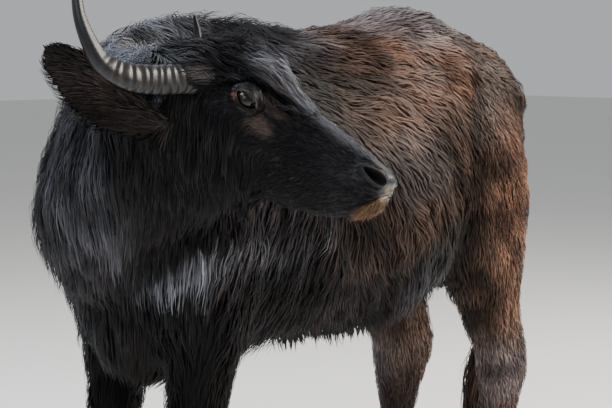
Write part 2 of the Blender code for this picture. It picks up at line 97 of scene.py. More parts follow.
def hashed(cells: Array, salt: int) -> Array:
    """Even random numbers from whole-number cells.

    Args:
        cells: whole numbers, with three to a row.
        salt: picks another set of numbers.

    Returns:
        Three numbers from 0 to 1 for each cell.
    """
    c = cells.astype(np.int64).astype(np.uint64)
    seed = (c[..., 0] * np.uint64(0x9E3779B97F4A7C15)) ^ (c[..., 1] * np.uint64(0xC2B2AE3D27D4EB4F))
    seed = seed ^ (c[..., 2] * np.uint64(0x165667B19E3779F9)) ^ np.uint64(salt * 7919 + 17)
    made = []
    for turn in range(3):
        x = seed + np.uint64((turn + 1) * 0x632BE59BD9B4E019 % 2**64)
        x = (x ^ (x >> np.uint64(30))) * np.uint64(0xBF58476D1CE4E5B9)
        x = (x ^ (x >> np.uint64(27))) * np.uint64(0x94D049BB133111EB)
        made.append((x ^ (x >> np.uint64(31))).astype(np.float64) / 2.0**64)
    return np.stack(made, -1)


def drift(points: Array, scale: float, salt: int) -> Array:
    """Smooth noise in space.

    Args:
        points: places in metres.
        scale: size of one swell in metres.
        salt: picks another field.

    Returns:
        Three numbers from -1 to 1 for each place.
    """
    p = points / scale
    base = np.floor(p)
    part = p - base
    part = part * part * (3 - 2 * part)
    total = np.zeros(points.shape)
    for corner in np.ndindex(2, 2, 2):
        c = np.array(corner)
        weight = np.prod(np.where(c, part, 1 - part), axis=-1, keepdims=True)
        total += weight * hashed(base + c, salt)
    return total * 2 - 1


def clump_centres(points: Array, cell: float, salt: int) -> Tuple[Array, Array]:
    """The nearest clump centre to each point, one centre scattered in each cell of a grid.

    Args:
        points: places in metres.
        cell: the distance between clumps in metres.
        salt: picks another scatter.

    Returns:
        The centre for each point, and three random numbers that its clump shares.
    """
    base = np.floor(points / cell)
    best = np.full(len(points), 1e9)
    centre, owner = np.zeros(points.shape), np.zeros(points.shape)
    for step in np.ndindex(3, 3, 3):
        near = base + np.array(step) - 1
        spot = (near + hashed(near, salt)) * cell
        gap = ((spot - points) ** 2).sum(-1)
        closer = gap < best
        for kept, found in ((best, gap), (centre, spot), (owner, near)):
            kept[closer] = found[closer]
    return centre, hashed(owner, salt + 1)


def smooth_rows(rows: Sequence[Sequence[float]], steps: int) -> Array:
    """Rows of station values with more rows between them on a smooth curve.

    Args:
        rows: the stations.
        steps: intervals between each pair.

    Returns:
        The finer rows.
    """
    rows = np.array(rows, float)
    ends = np.vstack([2 * rows[0] - rows[1], rows, 2 * rows[-1] - rows[-2]])
    made = []
    for i in range(1, len(rows)):
        before, start, end, after = ends[i - 1 : i + 3]
        second = 2 * before - 5 * start + 4 * end - after
        third = 3 * start - before - 3 * end + after
        for t in np.arange(steps) / steps:
            made.append(0.5 * (2 * start + (end - before) * t + second * t**2 + third * t**3))
    made.append(rows[-1])
    return np.array(made)


# ---- meshes and operators
def read(items: object, key: str, width: int, kind: type = np.float32) -> Array:
    """One value of each item of a mesh, in rows of the given width."""
    made = np.zeros(len(items) * width, kind)
    items.foreach_get(key, made)
    return made.reshape(-1, width) if width > 1 else made


def write(items: object, key: str, values: Array, kind: type = np.float32) -> None:
    """Sets one value of each item of a mesh."""
    items.foreach_set(key, np.ascontiguousarray(values, kind).ravel())


def paint(mesh: Mesh, name: str, *columns: object) -> None:
    """Stores four numbers at each vertex as a colour attribute."""
    rows = [np.broadcast_to(np.asarray(c, float), len(mesh.vertices)) for c in columns]
    write(mesh.color_attributes.new(name, "FLOAT_COLOR", "POINT").data, "color", np.stack(rows, -1))


def add_map(mesh: Mesh, name: str, values: Array) -> None:
    """Adds a UV map from its two numbers at each corner."""
    write(mesh.uv_layers.new(name=name).data, "uv", values)


def pick(*objects: Object) -> None:
    """Selects these objects alone, with the first as the active one."""
    bpy.ops.object.select_all(action="DESELECT")
    for item in objects:
        item.select_set(True)
    bpy.context.view_layer.objects.active = objects[0]


def edit(target: Object, operator: Callable, **settings: object) -> None:
    """Runs one operator of edit mode on the whole of a mesh.

    Args:
        target: the piece.
        operator: the operator.
        settings: the operator's own values.
    """
    pick(target)
    bpy.ops.object.mode_set(mode="EDIT")
    bpy.ops.mesh.select_all(action="SELECT")
    operator(**settings)
    bpy.ops.object.mode_set(mode="OBJECT")


def finish_with(target: Object, kind: str, **settings: object) -> None:
    """Adds one modifier with its settings and applies it.

    Args:
        target: the piece.
        kind: the modifier's type.
        settings: the modifier's own values.
    """
    pick(target)
    modifier = target.modifiers.new(kind.lower(), kind)
    for key, value in settings.items():
        setattr(modifier, key, value)
    bpy.ops.object.modifier_apply(modifier=modifier.name)


def add_object(name: str, data: bpy.types.ID) -> Object:
    """Puts a mesh, light or camera into the scene under a name."""
    made = bpy.data.objects.new(name, data)
    bpy.context.scene.collection.objects.link(made)
    return made


def merged_copy(node: str) -> Object:
    """A copy of a CAD node with its loose triangles merged."""
    made = add_object(node + "_copy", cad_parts[node].data.copy())
    edit(made, bpy.ops.mesh.remove_doubles, threshold=1e-5)
    return made


def mesh_of(name: str, vertices: Array, triangles: Array, quads: Array) -> Mesh:
    """A mesh from arrays.

    Args:
        name: the mesh's name.
        vertices: places, three to a row.
        triangles: vertex numbers, three to a row.
        quads: vertex numbers, four to a row.

    Returns:
        The mesh, with the triangles first and then the quads.
    """
    mesh = bpy.data.meshes.new(name)
    mesh.vertices.add(len(vertices))
    write(mesh.vertices, "co", vertices)
    loops = np.concatenate([triangles.ravel(), quads.ravel()])
    mesh.loops.add(len(loops))
    write(mesh.loops, "vertex_index", loops, np.int32)
    starts = np.concatenate([np.arange(len(triangles)) * 3, len(triangles) * 3 + np.arange(len(quads)) * 4])
    mesh.polygons.add(len(starts))
    write(mesh.polygons, "loop_start", starts, np.int32)
    write(mesh.polygons, "use_smooth", np.ones(len(starts)), bool)
    mesh.update(calc_edges=True)
    return mesh


def loft(name: str, rings: Array) -> Object:
    """A closed solid through rings of equal count, with a fan over each end.

    Args:
        name: the object's name.
        rings: an array of rings, of points, of three numbers.

    Returns:
        The object.
    """
    count, around = rings.shape[:2]
    i, j = (a.ravel() for a in np.meshgrid(np.arange(count - 1), np.arange(around), indexing="ij"))
    k = (j + 1) % around
    quads = np.stack([i * around + j, i * around + k, (i + 1) * around + k, (i + 1) * around + j], -1)
    vertices = np.vstack([rings.reshape(-1, 3), rings[0].mean(0), rings[-1].mean(0)])
    ring = np.arange(around)
    after = (ring + 1) % around
    low = np.full(around, count * around)
    last = (count - 1) * around
    fans = [np.stack([after, ring, low], -1), np.stack([last + ring, last + after, low + 1], -1)]
    made = add_object(name, mesh_of(name, vertices, np.vstack(fans), quads))
    edit(made, bpy.ops.mesh.normals_make_consistent, inside=False)
    return made


# ---- shader building
class Shader:
    """A Principled material under construction."""

    def __init__(self, name: str, **sockets: object) -> None:
        """Starts the material and sets the shader's own sockets by name."""
        self.material = bpy.data.materials.new(name)
        self.material.use_nodes = True
        self.tree = self.material.node_tree
        self.principled = self.tree.nodes["Principled BSDF"]
        self.set(**sockets)

    def node(self, kind: str, inputs: Dict[object, object], **settings: object) -> bpy.types.Node:
        """Adds a node.

        Args:
            kind: the node's type, without "ShaderNode".
            inputs: socket to value, or to the socket that feeds it.
            settings: the node's own settings.

        Returns:
            The node.
        """
        made = self.tree.nodes.new("ShaderNode" + kind)
        for key, value in settings.items():
            setattr(made, key, value)
        for key, value in inputs.items():
            self.feed(made.inputs[key], value)
        return made

    def feed(self, socket: Socket, value: object) -> None:
        """Sets a socket, or links another socket to it."""
        if isinstance(value, Socket):
            self.tree.links.new(value, socket)
        else:
            socket.default_value = value

    def set(self, **sockets: object) -> None:
        """Sets or feeds the shader's sockets."""
        for key, value in sockets.items():
            self.feed(self.principled.inputs[key.replace("_", " ")], value)

    def mix(self, factor: object, one: object, other: object, blend: str = "MIX") -> Socket:
        """A mix of two colours, as a socket."""
        pair = [value if isinstance(value, Socket) else (*value, 1.0) for value in (one, other)]
        inputs = {0: factor, 6: pair[0], 7: pair[1]}
        return self.node("Mix", inputs, data_type="RGBA", blend_type=blend).outputs[2]

    def shaded(self, base: object, by: object) -> Socket:
        """A colour times another, or times a number."""
        if isinstance(by, Socket) and by.type == "VALUE":
            by = self.node("CombineColor", {0: by, 1: by, 2: by}).outputs[0]
        return self.mix(1.0, base, by, "MULTIPLY")

    def maths(self, operation: str, one: object, other: object) -> Socket:
        """A sum on two numbers, as a socket."""
        return self.node("Math", {0: one, 1: other}, operation=operation).outputs[0]

    def times(self, first: object, *others: object) -> Socket:
        """A product of numbers, as a socket."""
        for other in others:
            first = self.maths("MULTIPLY", first, other)
        return first

    def span(self, value: object, low: float, high: float, to_low: float = 0.0, to_high: float = 1.0) -> Socket:
        """A number carried from one span to another, held at its ends."""
        return self.node("MapRange", {0: value, 1: low, 2: high, 3: to_low, 4: to_high}).outputs[0]

    def noise(self, vector: object, scale: float, detail: float = 3.0, roughness: float = 0.6) -> Socket:
        """Smooth noise from 0 to 1, as a socket."""
        inputs = {"Vector": vector, "Scale": scale, "Detail": detail, "Roughness": roughness}
        return self.node("TexNoise", inputs).outputs[0]

    def stretched(self, vector: object, scale: Triple, shift: object = (0.0, 0.0, 0.0)) -> Socket:
        """The vector with each axis scaled, then moved."""
        return self.node("Mapping", {"Vector": vector, "Scale": scale, "Location": shift}).outputs[0]

    def place(self) -> Socket:
        """The place on the object, in metres."""
        return self.node("TexCoord", {}).outputs["Object"]

    def uv(self, name: str) -> Socket:
        """The place on one of the piece's maps."""
        return self.node("UVMap", {}, uv_map=name).outputs[0]

    def stored(self, name: str) -> Tuple[Socket, ...]:
        """The four numbers of a colour attribute."""
        made = self.node("Attribute", {}, attribute_name=name)
        parts = self.node("SeparateColor", {0: made.outputs["Color"]})
        return (*parts.outputs[:3], made.outputs["Alpha"])

    def bump(self, height: object, strength: float, distance: float, **normal: Socket) -> None:
        """Raises the surface by a height, over its own normal or the one that is given."""
        inputs = {"Height": height, "Strength": strength, "Distance": distance, **normal}
        self.set(Normal=self.node("Bump", inputs).outputs[0])


# ---- finishes
@dataclass(frozen=True)
class Palette:
    """The colours of the hide and hair, shared by skin and coat."""

    black: Triple = (0.0075, 0.0078, 0.0105)
    brown: Triple = (0.054, 0.032, 0.0225)
    rust: Triple = (0.148, 0.073, 0.045)
    # grey is grey hair, and also stands for painted bluish sheen and highlights.
    grey: Triple = (0.15, 0.156, 0.184)
    pale: Triple = (0.4, 0.225, 0.105)

    def blend(self, shader: Shader) -> Socket:
        """The colour that the stored markings call for."""
        mixed = self.black
        for share, tint in zip(shader.stored("markings"), (self.brown, self.rust, self.grey, self.pale)):
            mixed = shader.mix(share, mixed, tint)
        return mixed


@dataclass(frozen=True)
class HairFinish:
    """Long coarse hair: streaked along each lock, paler towards the tip, as the darker root is painted shade.
    """

    palette: Palette = Palette()
    roughness: float = 0.42
    streaks: Triple = (7.0, 1.6, 1.0)
    ease: float = 0.87

    def material(self) -> Material:
        """Builds the material. Its normals lean to the skin's, so that a lock is lit as part of the coat."""
        shader = Shader("hair", Specular_IOR_Level=0.1, Sheen_Weight=0.035, Sheen_Roughness=0.4)
        shader.set(Sheen_Tint=(0.55, 0.62, 0.78, 1.0))
        lock, along, tone, _ = shader.stored("strand")
        lit, broad, _, _ = shader.stored("light")
        shift = shader.node("CombineXYZ", {0: shader.times(lock, 37.0), 1: shader.times(tone, 11.0)})
        fine = shader.noise(shader.stretched(shader.uv("Strand"), self.streaks, shift.outputs[0]), 1.0)
        # Painted shade darkens each lock's root (along) and the locks lying low in the coat (tone); lit is the
        # painted light and shade of the field; broad is random patches.
        tint = shader.times(
            shader.span(fine, 0.3, 0.72, 0.76, 1.26),
            shader.span(lock, 0.0, 1.0, 0.9, 1.11),
            shader.span(along, 0.0, 1.0, 0.88, 1.1),
            shader.span(tone, 0.2, 1.0, 0.78, 1.18),
            shader.span(lit, 0.0, 1.0, 0.1, 1.9),
            shader.span(broad, 0.0, 1.0, 0.42, 1.58),
        )
        shader.set(Base_Color=shader.shaded(self.palette.blend(shader), tint))
        shader.set(Roughness=shader.span(fine, 0.3, 0.7, self.roughness + 0.12, self.roughness - 0.06))
        facing = shader.node("Attribute", {}, attribute_name="facing").outputs["Vector"]
        own = shader.node("NewGeometry", {}).outputs["Normal"]
        eased = shader.node("Mix", {0: self.ease, 4: own, 5: facing}, data_type="VECTOR").outputs[1]
        eased = shader.node("VectorMath", {0: eased}, operation="NORMALIZE").outputs[0]
        shader.bump(fine, 0.35, 0.001, Normal=eased)
        return shader.material


@dataclass(frozen=True)
class SkinFinish:
    """Hide under the coat, bare and moist on the muzzle, with short flat hair as bump on the face."""

    palette: Palette = Palette()
    muzzle: Triple = (0.016, 0.0145, 0.015)
    muzzle_pale: Triple = (0.028, 0.024, 0.023)
    lid: Triple = (0.006, 0.0048, 0.0048)
    moist: Triple = (0.03, 0.034, 0.041)
    film: Triple = (0.12, 0.098, 0.026)
    tear: Triple = (0.13, 0.05, 0.024)
    roughness: float = 0.55
    wet_roughness: float = 0.2

    def material(self) -> Material:
        """Builds the material."""
        shader = Shader("hide", Specular_IOR_Level=0.3)
        bare, lid, tear, wet = shader.stored("hide")
        lit, wide, film, _ = shader.stored("light")
        place = shader.place()
        fine, broad = shader.noise(place, 900.0), shader.noise(place, 60.0, 4.0)
        # Painted light and shade of the field (lit), and broad random patches (wide).
        tint = shader.times(shader.span(lit, 0.0, 1.0, 0.08, 1.5), shader.span(wide, 0.0, 1.0, 0.7, 1.3))
        base = shader.shaded(self.palette.blend(shader), tint)
        base = shader.shaded(base, shader.mix(shader.span(broad, 0.3, 0.7), (0.5, 0.5, 0.5), (1.25, 1.2, 1.2)))
        nose = shader.mix(shader.span(broad, 0.35, 0.65), self.muzzle, self.muzzle_pale)
        shine = shader.times(wet, shader.span(shader.noise(place, 170.0), 0.42, 0.62, 0.35, 1.0))
        film = shader.times(film, shader.span(shader.noise(place, 90.0), 0.35, 0.6))
        layers = ((bare, nose), (shine, self.moist), (film, self.film), (lid, self.lid), (tear, self.tear))
        for share, layer in layers:
            base = shader.mix(share, base, layer)
        rough = shader.span(wet, 0.0, 1.0, self.roughness, self.wet_roughness)
        rough = shader.maths("ADD", rough, shader.span(fine, 0.3, 0.7, -0.05, 0.08))
        shader.set(Base_Color=base, Roughness=rough)
        pebble = shader.node("TexVoronoi", {"Vector": place, "Scale": 260.0}).outputs[0]
        shader.bump(shader.maths("ADD", shader.times(pebble, bare), shader.times(fine, 0.5)), 0.35, 0.0008)
        return shader.material


@dataclass(frozen=True)
class HornFinish:
    """Grey horn: ringed and brown in the furrows near the root, smooth and dark towards the tip."""

    grey: Triple = (0.016, 0.017, 0.021)
    dark: Triple = (0.009, 0.009, 0.012)
    tan: Triple = (0.04, 0.03, 0.022)
    under: Triple = (0.04, 0.027, 0.018)

    def material(self) -> Material:
        """Builds the material."""
        shader = Shader("horn_finish", Specular_IOR_Level=0.36)
        along, furrow, under, rings = shader.stored("horn")
        sleeve = shader.uv("Sleeve")
        fibre = shader.noise(shader.stretched(sleeve, (70.0, 3.0, 1.0)), 1.0, 4.0, 0.65)
        patch = shader.noise(shader.stretched(sleeve, (5.0, 9.0, 1.0)), 1.0)
        base = shader.mix(shader.span(along, 0.35, 0.95), self.grey, self.dark)
        base = shader.mix(shader.times(furrow, rings), base, self.tan)
        base = shader.mix(shader.times(under, shader.span(along, 0.1, 0.6, 0.8, 0.2)), base, self.under)
        streak = shader.mix(shader.span(fibre, 0.3, 0.7), (0.55, 0.55, 0.56), (1.35, 1.33, 1.3))
        cloud = shader.mix(shader.span(patch, 0.3, 0.7), (0.7, 0.7, 0.72), (1.25, 1.2, 1.15))
        shader.set(Base_Color=shader.shaded(shader.shaded(base, streak), cloud))
        shader.set(Roughness=shader.span(fibre, 0.3, 0.7, 0.26, 0.42))
        shader.bump(shader.maths("ADD", fibre, shader.times(patch, 0.4)), 0.25, 0.0008)
        return shader.material


@dataclass(frozen=True)
class HoofFinish:
    """Dark hoof horn with growth lines round it and dust near the ground."""

    dark: Triple = (0.018, 0.016, 0.015)
    worn: Triple = (0.062, 0.053, 0.044)
    dust: Triple = (0.11, 0.09, 0.07)
    dust_height: float = 0.022

    def material(self) -> Material:
        """Builds the material."""
        shader = Shader("hoof_finish", Specular_IOR_Level=0.45)
        place = shader.place()
        lines = shader.noise(shader.stretched(place, (6.0, 6.0, 260.0)), 1.0)
        grain = shader.noise(shader.stretched(place, (500.0, 500.0, 30.0)), 1.0)
        height = shader.node("SeparateXYZ", {0: place}).outputs[2]
        base = shader.mix(shader.span(lines, 0.35, 0.7), self.dark, self.worn)
        base = shader.mix(shader.span(height, self.dust_height, 0.0, 0.0, 0.55), base, self.dust)
        base = shader.shaded(base, shader.mix(shader.span(grain, 0.3, 0.7), (0.6, 0.6, 0.6), (1.3, 1.3, 1.3)))
        shader.set(Base_Color=base, Roughness=shader.span(grain, 0.3, 0.7, 0.38, 0.6))
        shader.bump(shader.maths("ADD", lines, shader.times(grain, 0.3)), 0.4, 0.0015)
        return shader.material


@dataclass(frozen=True)
class EyeFinish:
    """A dark brown eye with a level pupil and a wet front."""

    white: Triple = (0.06, 0.026, 0.016)
    vein: Triple = (0.12, 0.035, 0.02)
    iris: Triple = (0.006, 0.0032, 0.0026)
    iris_pale: Triple = (0.018, 0.009, 0.006)
    edge: Triple = (0.006, 0.004, 0.004)
    pupil: Triple = (0.0015, 0.0015, 0.003)

    def material(self) -> Material:
        """Builds the material."""
        shader = Shader("eye_finish", Specular_IOR_Level=0.35, Roughness=0.16)
        shader.set(Coat_Weight=0.3, Coat_Roughness=0.05)
        across, _, radius, _ = shader.stored("gaze")
        fibre = shader.noise(shader.place(), 700.0, 4.0, 0.7)
        iris = shader.mix(shader.span(fibre, 0.35, 0.7), self.iris, self.iris_pale)
        veins = shader.mix(shader.span(fibre, 0.4, 0.75), self.white, self.vein)
        base = shader.mix(shader.span(radius, 0.7, 0.78), iris, self.edge)
        base = shader.mix(shader.span(radius, 0.84, 0.94), base, veins)
        shader.set(Base_Color=shader.mix(shader.span(across, 0.26, 0.33, 1.0, 0.0), base, self.pupil))
        return shader.material


@dataclass(frozen=True)
class FloorFinish:
    """A plain pale matt floor."""

    tone: Triple = (0.74, 0.73, 0.7)
    pale: Triple = (0.78, 0.77, 0.745)

    def material(self) -> Material:
        """Builds the material."""
        shader = Shader("floor_finish", Specular_IOR_Level=0.2, Roughness=0.85)
        shader.set(Base_Color=shader.mix(shader.noise(shader.place(), 0.8, 3.0, 0.5), self.tone, self.pale))
        return shader.material


# ---- the pose
@dataclass(frozen=True)
class Pose:
    """Where the trunk and head are held. Body measures have the trunk's middle plane at x = 0."""

    poll: Triple = (0.41, -0.765, 1.29)
    heading: float = 27.5
    droop: float = 31.4
    tilt: float = 8.5
    claw_inner: float = 0.159
    claw_back: float = -0.5488

    def shift(self) -> Array:
        """How far body measures are moved to reach the row frame."""
        low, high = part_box("left_foreleg_outer_claw")
        return np.array([low.x - self.claw_inner, high.y - self.claw_back, 0.0])

    def head(self) -> Matrix:
        """The frame of the head: its axes point forward, left and up, and it starts at the poll."""
        heading, droop, tilt = (math.radians(a) for a in (self.heading, self.droop, self.tilt))
        level = Vector((math.cos(heading), math.sin(heading), 0))
        forward = level * math.cos(droop) - UP * math.sin(droop)
        side = UP.cross(level)
        rise = forward.cross(side)
        left = side * math.cos(tilt) - rise * math.sin(tilt)
        top = rise * math.cos(tilt) + side * math.sin(tilt)
        made = Matrix((forward, left, top)).transposed().to_4x4()
        made.translation = Vector(self.poll) + Vector(self.shift())
        return made


POSE = Pose()
SHIFT = POSE.shift()
HEAD = POSE.head()
TURN = np.array(HEAD.to_3x3())
HEAD_ORIGIN = np.array(HEAD.translation)


def in_head(points: Array) -> Array:
    """Places in head measures: forward, left and up from the poll."""
    return (points - HEAD_ORIGIN) @ TURN


def from_head(points: Sequence[float]) -> Array:
    """Places in the row frame, from head measures."""
    return np.asarray(points, float) @ TURN.T + HEAD_ORIGIN


def mirrored(point: Sequence[float], side: int) -> Array:
    """A head measure on the left (+1) or right (-1) side."""
    return np.array([point[0], point[1] * side, point[2]])


def folded(points: Array, axis: int) -> Array:
    """The places with one measure counted alike on both sides, so that the left stands for both."""
    made = points.copy()
    made[..., axis] = np.abs(made[..., axis])
    return made


# ---- regions of the coat
@dataclass(frozen=True)
class Lie:
    """How the hair of one region grows, in metres.

    depth is the coat's thickness, length and width are one lock's, per_m2 counts the locks, lift is how
    far they rise from the skin, wave is the sideways swing, cling is how closely they keep to the
    surface, and loose says how much of the hang is left to gravity.
    """

    depth: float
    length: float
    width: float
    per_m2: float
    lift: float
    wave: float
    cling: float
    loose: float = 0.0


class Region(Enum):
    """Parts of the hide, each with how its hair grows."""

    MUZZLE = Lie(0.0008, 0.005, 0.001, 2000, 0.5, 0.0003, 0.5)
    NOSE = Lie(0.0045, 0.016, 0.0016, 80000, 0.22, 0.0008, 0.85)
    CHEEK = Lie(0.017, 0.07, 0.0022, 35000, 0.14, 0.0006, 0.75, 0.5)
    FOREHEAD = Lie(0.026, 0.072, 0.0023, 64000, 0.26, 0.002, 0.78)
    EAR = Lie(0.006, 0.034, 0.0022, 44000, 0.22, 0.0012, 0.5, 0.2)
    NECK = Lie(0.03, 0.125, 0.0034, 24500, 0.14, 0.0007, 0.78, 0.5)
    CREST = Lie(0.026, 0.064, 0.003, 27000, 0.6, 0.004, 0.45)
    CHEST = Lie(0.03, 0.11, 0.0041, 17000, 0.16, 0.0014, 0.68, 0.6)
    SHOULDER = Lie(0.022, 0.095, 0.0044, 16000, 0.18, 0.0022, 0.78, 0.3)
    BACK = Lie(0.016, 0.068, 0.0044, 19500, 0.16, 0.003, 0.88)
    FLANK = Lie(0.02, 0.09, 0.0044, 20500, 0.18, 0.0042, 0.82, 0.1)
    BELLY = Lie(0.034, 0.095, 0.0044, 13000, 0.22, 0.006, 0.45, 0.8)
    THIGH = Lie(0.012, 0.042, 0.0036, 20500, 0.15, 0.0016, 0.88, 0.1)
    FORELEG = Lie(0.016, 0.06, 0.0038, 16000, 0.18, 0.002, 0.78, 0.3)
    SHANK = Lie(0.008, 0.028, 0.0032, 20000, 0.2, 0.0014, 0.8, 0.1)
    FOOT = Lie(0.0045, 0.018, 0.003, 22000, 0.22, 0.001, 0.8, 0.1)
    TAIL = Lie(0.007, 0.045, 0.0038, 19000, 0.2, 0.0015, 0.7, 0.4)
    SWITCH = Lie(0.018, 0.15, 0.0042, 16000, 0.3, 0.004, 0.2, 0.8)
    LIP = Lie(0.004, 0.011, 0.0012, 110000, 0.55, 0.001, 0.3, 0.4)
    TUFT = Lie(0.04, 0.066, 0.0021, 62000, 0.75, 0.003, 0.3)

    @property
    def column(self) -> int:
        """The region's number among the columns of weights."""
        return list(Region).index(self)


LIE_FIELDS = tuple(Lie.__annotations__)


@dataclass(frozen=True)
class Patch:
    """A soft oval on the hide: its middle and radii in body or head measures, and its strength."""

    middle: Triple
    radii: Triple
    strength: float = 1.0

    def at(self, points: Array) -> Array:
        """Strength at each place, falling smoothly to nothing at the edge."""
        return self.strength * (1.0 - ramp(oval(points, self.middle, self.radii), 0.35, 1.0))


def strongest(patches: Sequence[Patch], points: Array) -> Array:
    """The greatest strength that any of the patches has at each place."""
    return np.maximum.reduce([patch.at(points) for patch in patches])


# ---- the skin
LEGS = ("left_foreleg", "right_foreleg", "left_hind_leg", "right_hind_leg")
FLESH = ("head", "neck", "trunk", *LEGS, "left_ear", "right_ear", "tail")
EYES = ("left_eye", "right_eye")
EYE_MIDDLE: Triple = (0.205, 0.088, -0.006)
EYE_RADIUS = 0.0205
NOSTRIL_MIDDLE: Triple = (0.4765, 0.0545, 0.0055)
EAR_ROOT: Triple = (0.08, 0.085, -0.132)
EAR_AIM: Dict[int, Triple] = {1: (-0.052, 0.268, -0.014), -1: (-0.173, 0.196, 0.009)}
EAR_OPENING: Triple = (0.8, 0.55, -0.22)
EAR_LENGTH = 0.266
# Row: share of the length, half width, cup, half thickness and drop.
EAR_STATIONS: Rows = (
    (-0.1, 0.02, 0.006, 0.013, 0.0),
    (0.0, 0.022, 0.01, 0.013, 0.0),
    (0.12, 0.031, 0.02, 0.011, 0.003),
    (0.28, 0.04, 0.026, 0.0075, 0.008),
    (0.45, 0.05, 0.026, 0.0055, 0.006),
    (0.62, 0.05, 0.02, 0.0045, 0.0),
    (0.8, 0.038, 0.013, 0.004, -0.006),
    (0.93, 0.025, 0.007, 0.0034, -0.01),
    (0.985, 0.008, 0.002, 0.0024, -0.013),
)
# Stations along the head, and half the width of the forelock there. Its edge is the crease over the eye.
FORELOCK_EDGE = (
    (-0.04, 0.05, 0.1, 0.129, 0.14, 0.15, 0.162, 0.176, 0.194, 0.212, 0.229, 0.249, 0.269, 0.288, 0.306),
    (0.1, 0.106, 0.1, 0.095, 0.09, 0.086, 0.08, 0.071, 0.064, 0.059, 0.054, 0.049, 0.046, 0.04, 0.014),
)
# The coat on the head. Row: forward, then middle, top, bottom and half width of the solid, then the
# depth of the coat over it, beside it and under it.
HEAD_COAT: Rows = (
    (-0.08, -0.1, -0.04, -0.2, 0.07, 0.014, 0.014, 0.02),
    (-0.03, -0.09, -0.006, -0.255, 0.095, 0.022, 0.02, 0.06),
    (0.035, -0.07, 0.049, -0.285, 0.108, 0.034, 0.018, 0.085),
    (0.075, -0.062, 0.087, -0.29, 0.11, 0.044, 0.016, 0.09),
    (0.11, -0.056, 0.108, -0.288, 0.11, 0.048, 0.016, 0.095),
    (0.16, -0.05, 0.107, -0.277, 0.107, 0.044, 0.013, 0.092),
    (0.19, -0.05, 0.098, -0.266, 0.102, 0.038, 0.008, 0.087),
    (0.215, -0.05, 0.082, -0.255, 0.097, 0.03, 0.006, 0.082),
    (0.258, -0.05, 0.055, -0.232, 0.085, 0.018, 0.006, 0.068),
    (0.31, -0.048, 0.045, -0.198, 0.07, 0.01, 0.006, 0.048),
    (0.37, -0.044, 0.042, -0.158, 0.06, 0.007, 0.005, 0.024),
    (0.425, -0.04, 0.035, -0.122, 0.057, 0.005, 0.0035, 0.01),
    (0.462, -0.036, 0.031, -0.095, 0.059, 0.0025, 0.002, 0.004),
    (0.486, -0.03, 0.022, -0.076, 0.055, 0.0004, 0.0005, 0.001),
    (0.501, -0.026, 0.007, -0.056, 0.042, 0.0003, 0.0003, 0.001),
)
MOUTH_LINE: Rows = (
    (0.511, 0.0, -0.014),
    (0.51, 0.01, -0.015),
    (0.508, 0.021, -0.02),
    (0.504, 0.033, -0.026),
    (0.499, 0.041, -0.034),
    (0.491, 0.046, -0.044),
    (0.48, 0.0485, -0.057),
    (0.468, 0.047, -0.069),
    (0.452, 0.045, -0.08),
    (0.434, 0.046, -0.088),
)


@dataclass(frozen=True)
class Swell:
    """One push of the skin in head measures: where, how wide, and which way and how far."""

    middle: Triple
    radii: Triple
    move: Triple

    def apply(self, points: Array, side: int) -> Array:
        """The movement at each place, for the left or right side."""
        reach = ((points - mirrored(self.middle, side)) / np.array(self.radii)) ** 2
        return np.exp(-reach.sum(-1, keepdims=True)) * mirrored(self.move, side)


FACE_SWELLS: Tuple[Swell, ...] = (
    Swell((0.462, 0.06, 0.017), (0.02, 0.016, 0.008), (0.0, 0.003, 0.004)),  # upper wing of the nostril
    Swell((0.47, 0.06, -0.015), (0.024, 0.016, 0.008), (0.0, 0.005, -0.002)),  # lower wing
    Swell((0.436, 0.058, -0.04), (0.03, 0.016, 0.02), (0.0, 0.004, 0.0)),  # lip pad
    Swell((0.425, 0.05, 0.008), (0.018, 0.014, 0.012), (0.0, -0.003, -0.003)),  # behind the nostril
    Swell((0.33, 0.062, -0.03), (0.05, 0.02, 0.014), (0.0, -0.004, 0.0)),  # below the nose bone
    Swell((0.255, 0.084, -0.04), (0.03, 0.02, 0.01), (0.0, 0.004, 0.0)),  # cheek ridge
    Swell((0.243, 0.08, -0.008), (0.012, 0.014, 0.01), (0.0, -0.005, -0.001)),  # tear hollow
    Swell((0.165, 0.094, 0.004), (0.02, 0.022, 0.012), (0.0, -0.004, 0.0)),  # temple
    Swell((0.196, 0.084, 0.028), (0.03, 0.02, 0.007), (0.0, -0.004, -0.002)),  # under the brow
    Swell((0.19, 0.092, 0.013), (0.022, 0.02, 0.008), (0.0, 0.004, 0.002)),  # edge of the orbit
    Swell((0.505, 0.0, -0.01), (0.02, 0.005, 0.016), (-0.0012, 0.0, 0.0)),  # furrow of the upper lip
    Swell((0.496, 0.0, 0.01), (0.016, 0.03, 0.018), (0.004, 0.0, 0.002)),  # fullness of the pad
    Swell((0.496, 0.05, 0.006), (0.014, 0.016, 0.02), (-0.0035, -0.002, 0.0)),  # rounding beside it
)


def forelock_edge(forward: Array) -> Array:
    """Half the width of the forelock at each distance along the head."""
    return np.interp(forward, *FORELOCK_EDGE)


def lower_lip(h: Array, low: float, high: float) -> Array:
    """How fully each place in head measures is on the lower lip, whose hair starts from low to high."""
    f, _, u = h.T
    mouth = np.array(MOUTH_LINE)[::-1]
    under = u - np.interp(f, mouth[:, 0], mouth[:, 2])
    return (1 - ramp(under, -0.006, -0.001)) * ramp(f - 0.35 * (u + 0.045), low, high)


def ear_axes(side: int) -> Tuple[Array, Array, Array]:
    """The ways along one ear, out of its opening and across it, as measures of the left side."""
    along = unit(np.array(EAR_AIM[side]))
    face = across_from(np.array(EAR_OPENING), along)
    edge = np.cross(face, along)
    return along, face, edge * np.sign(edge[2])


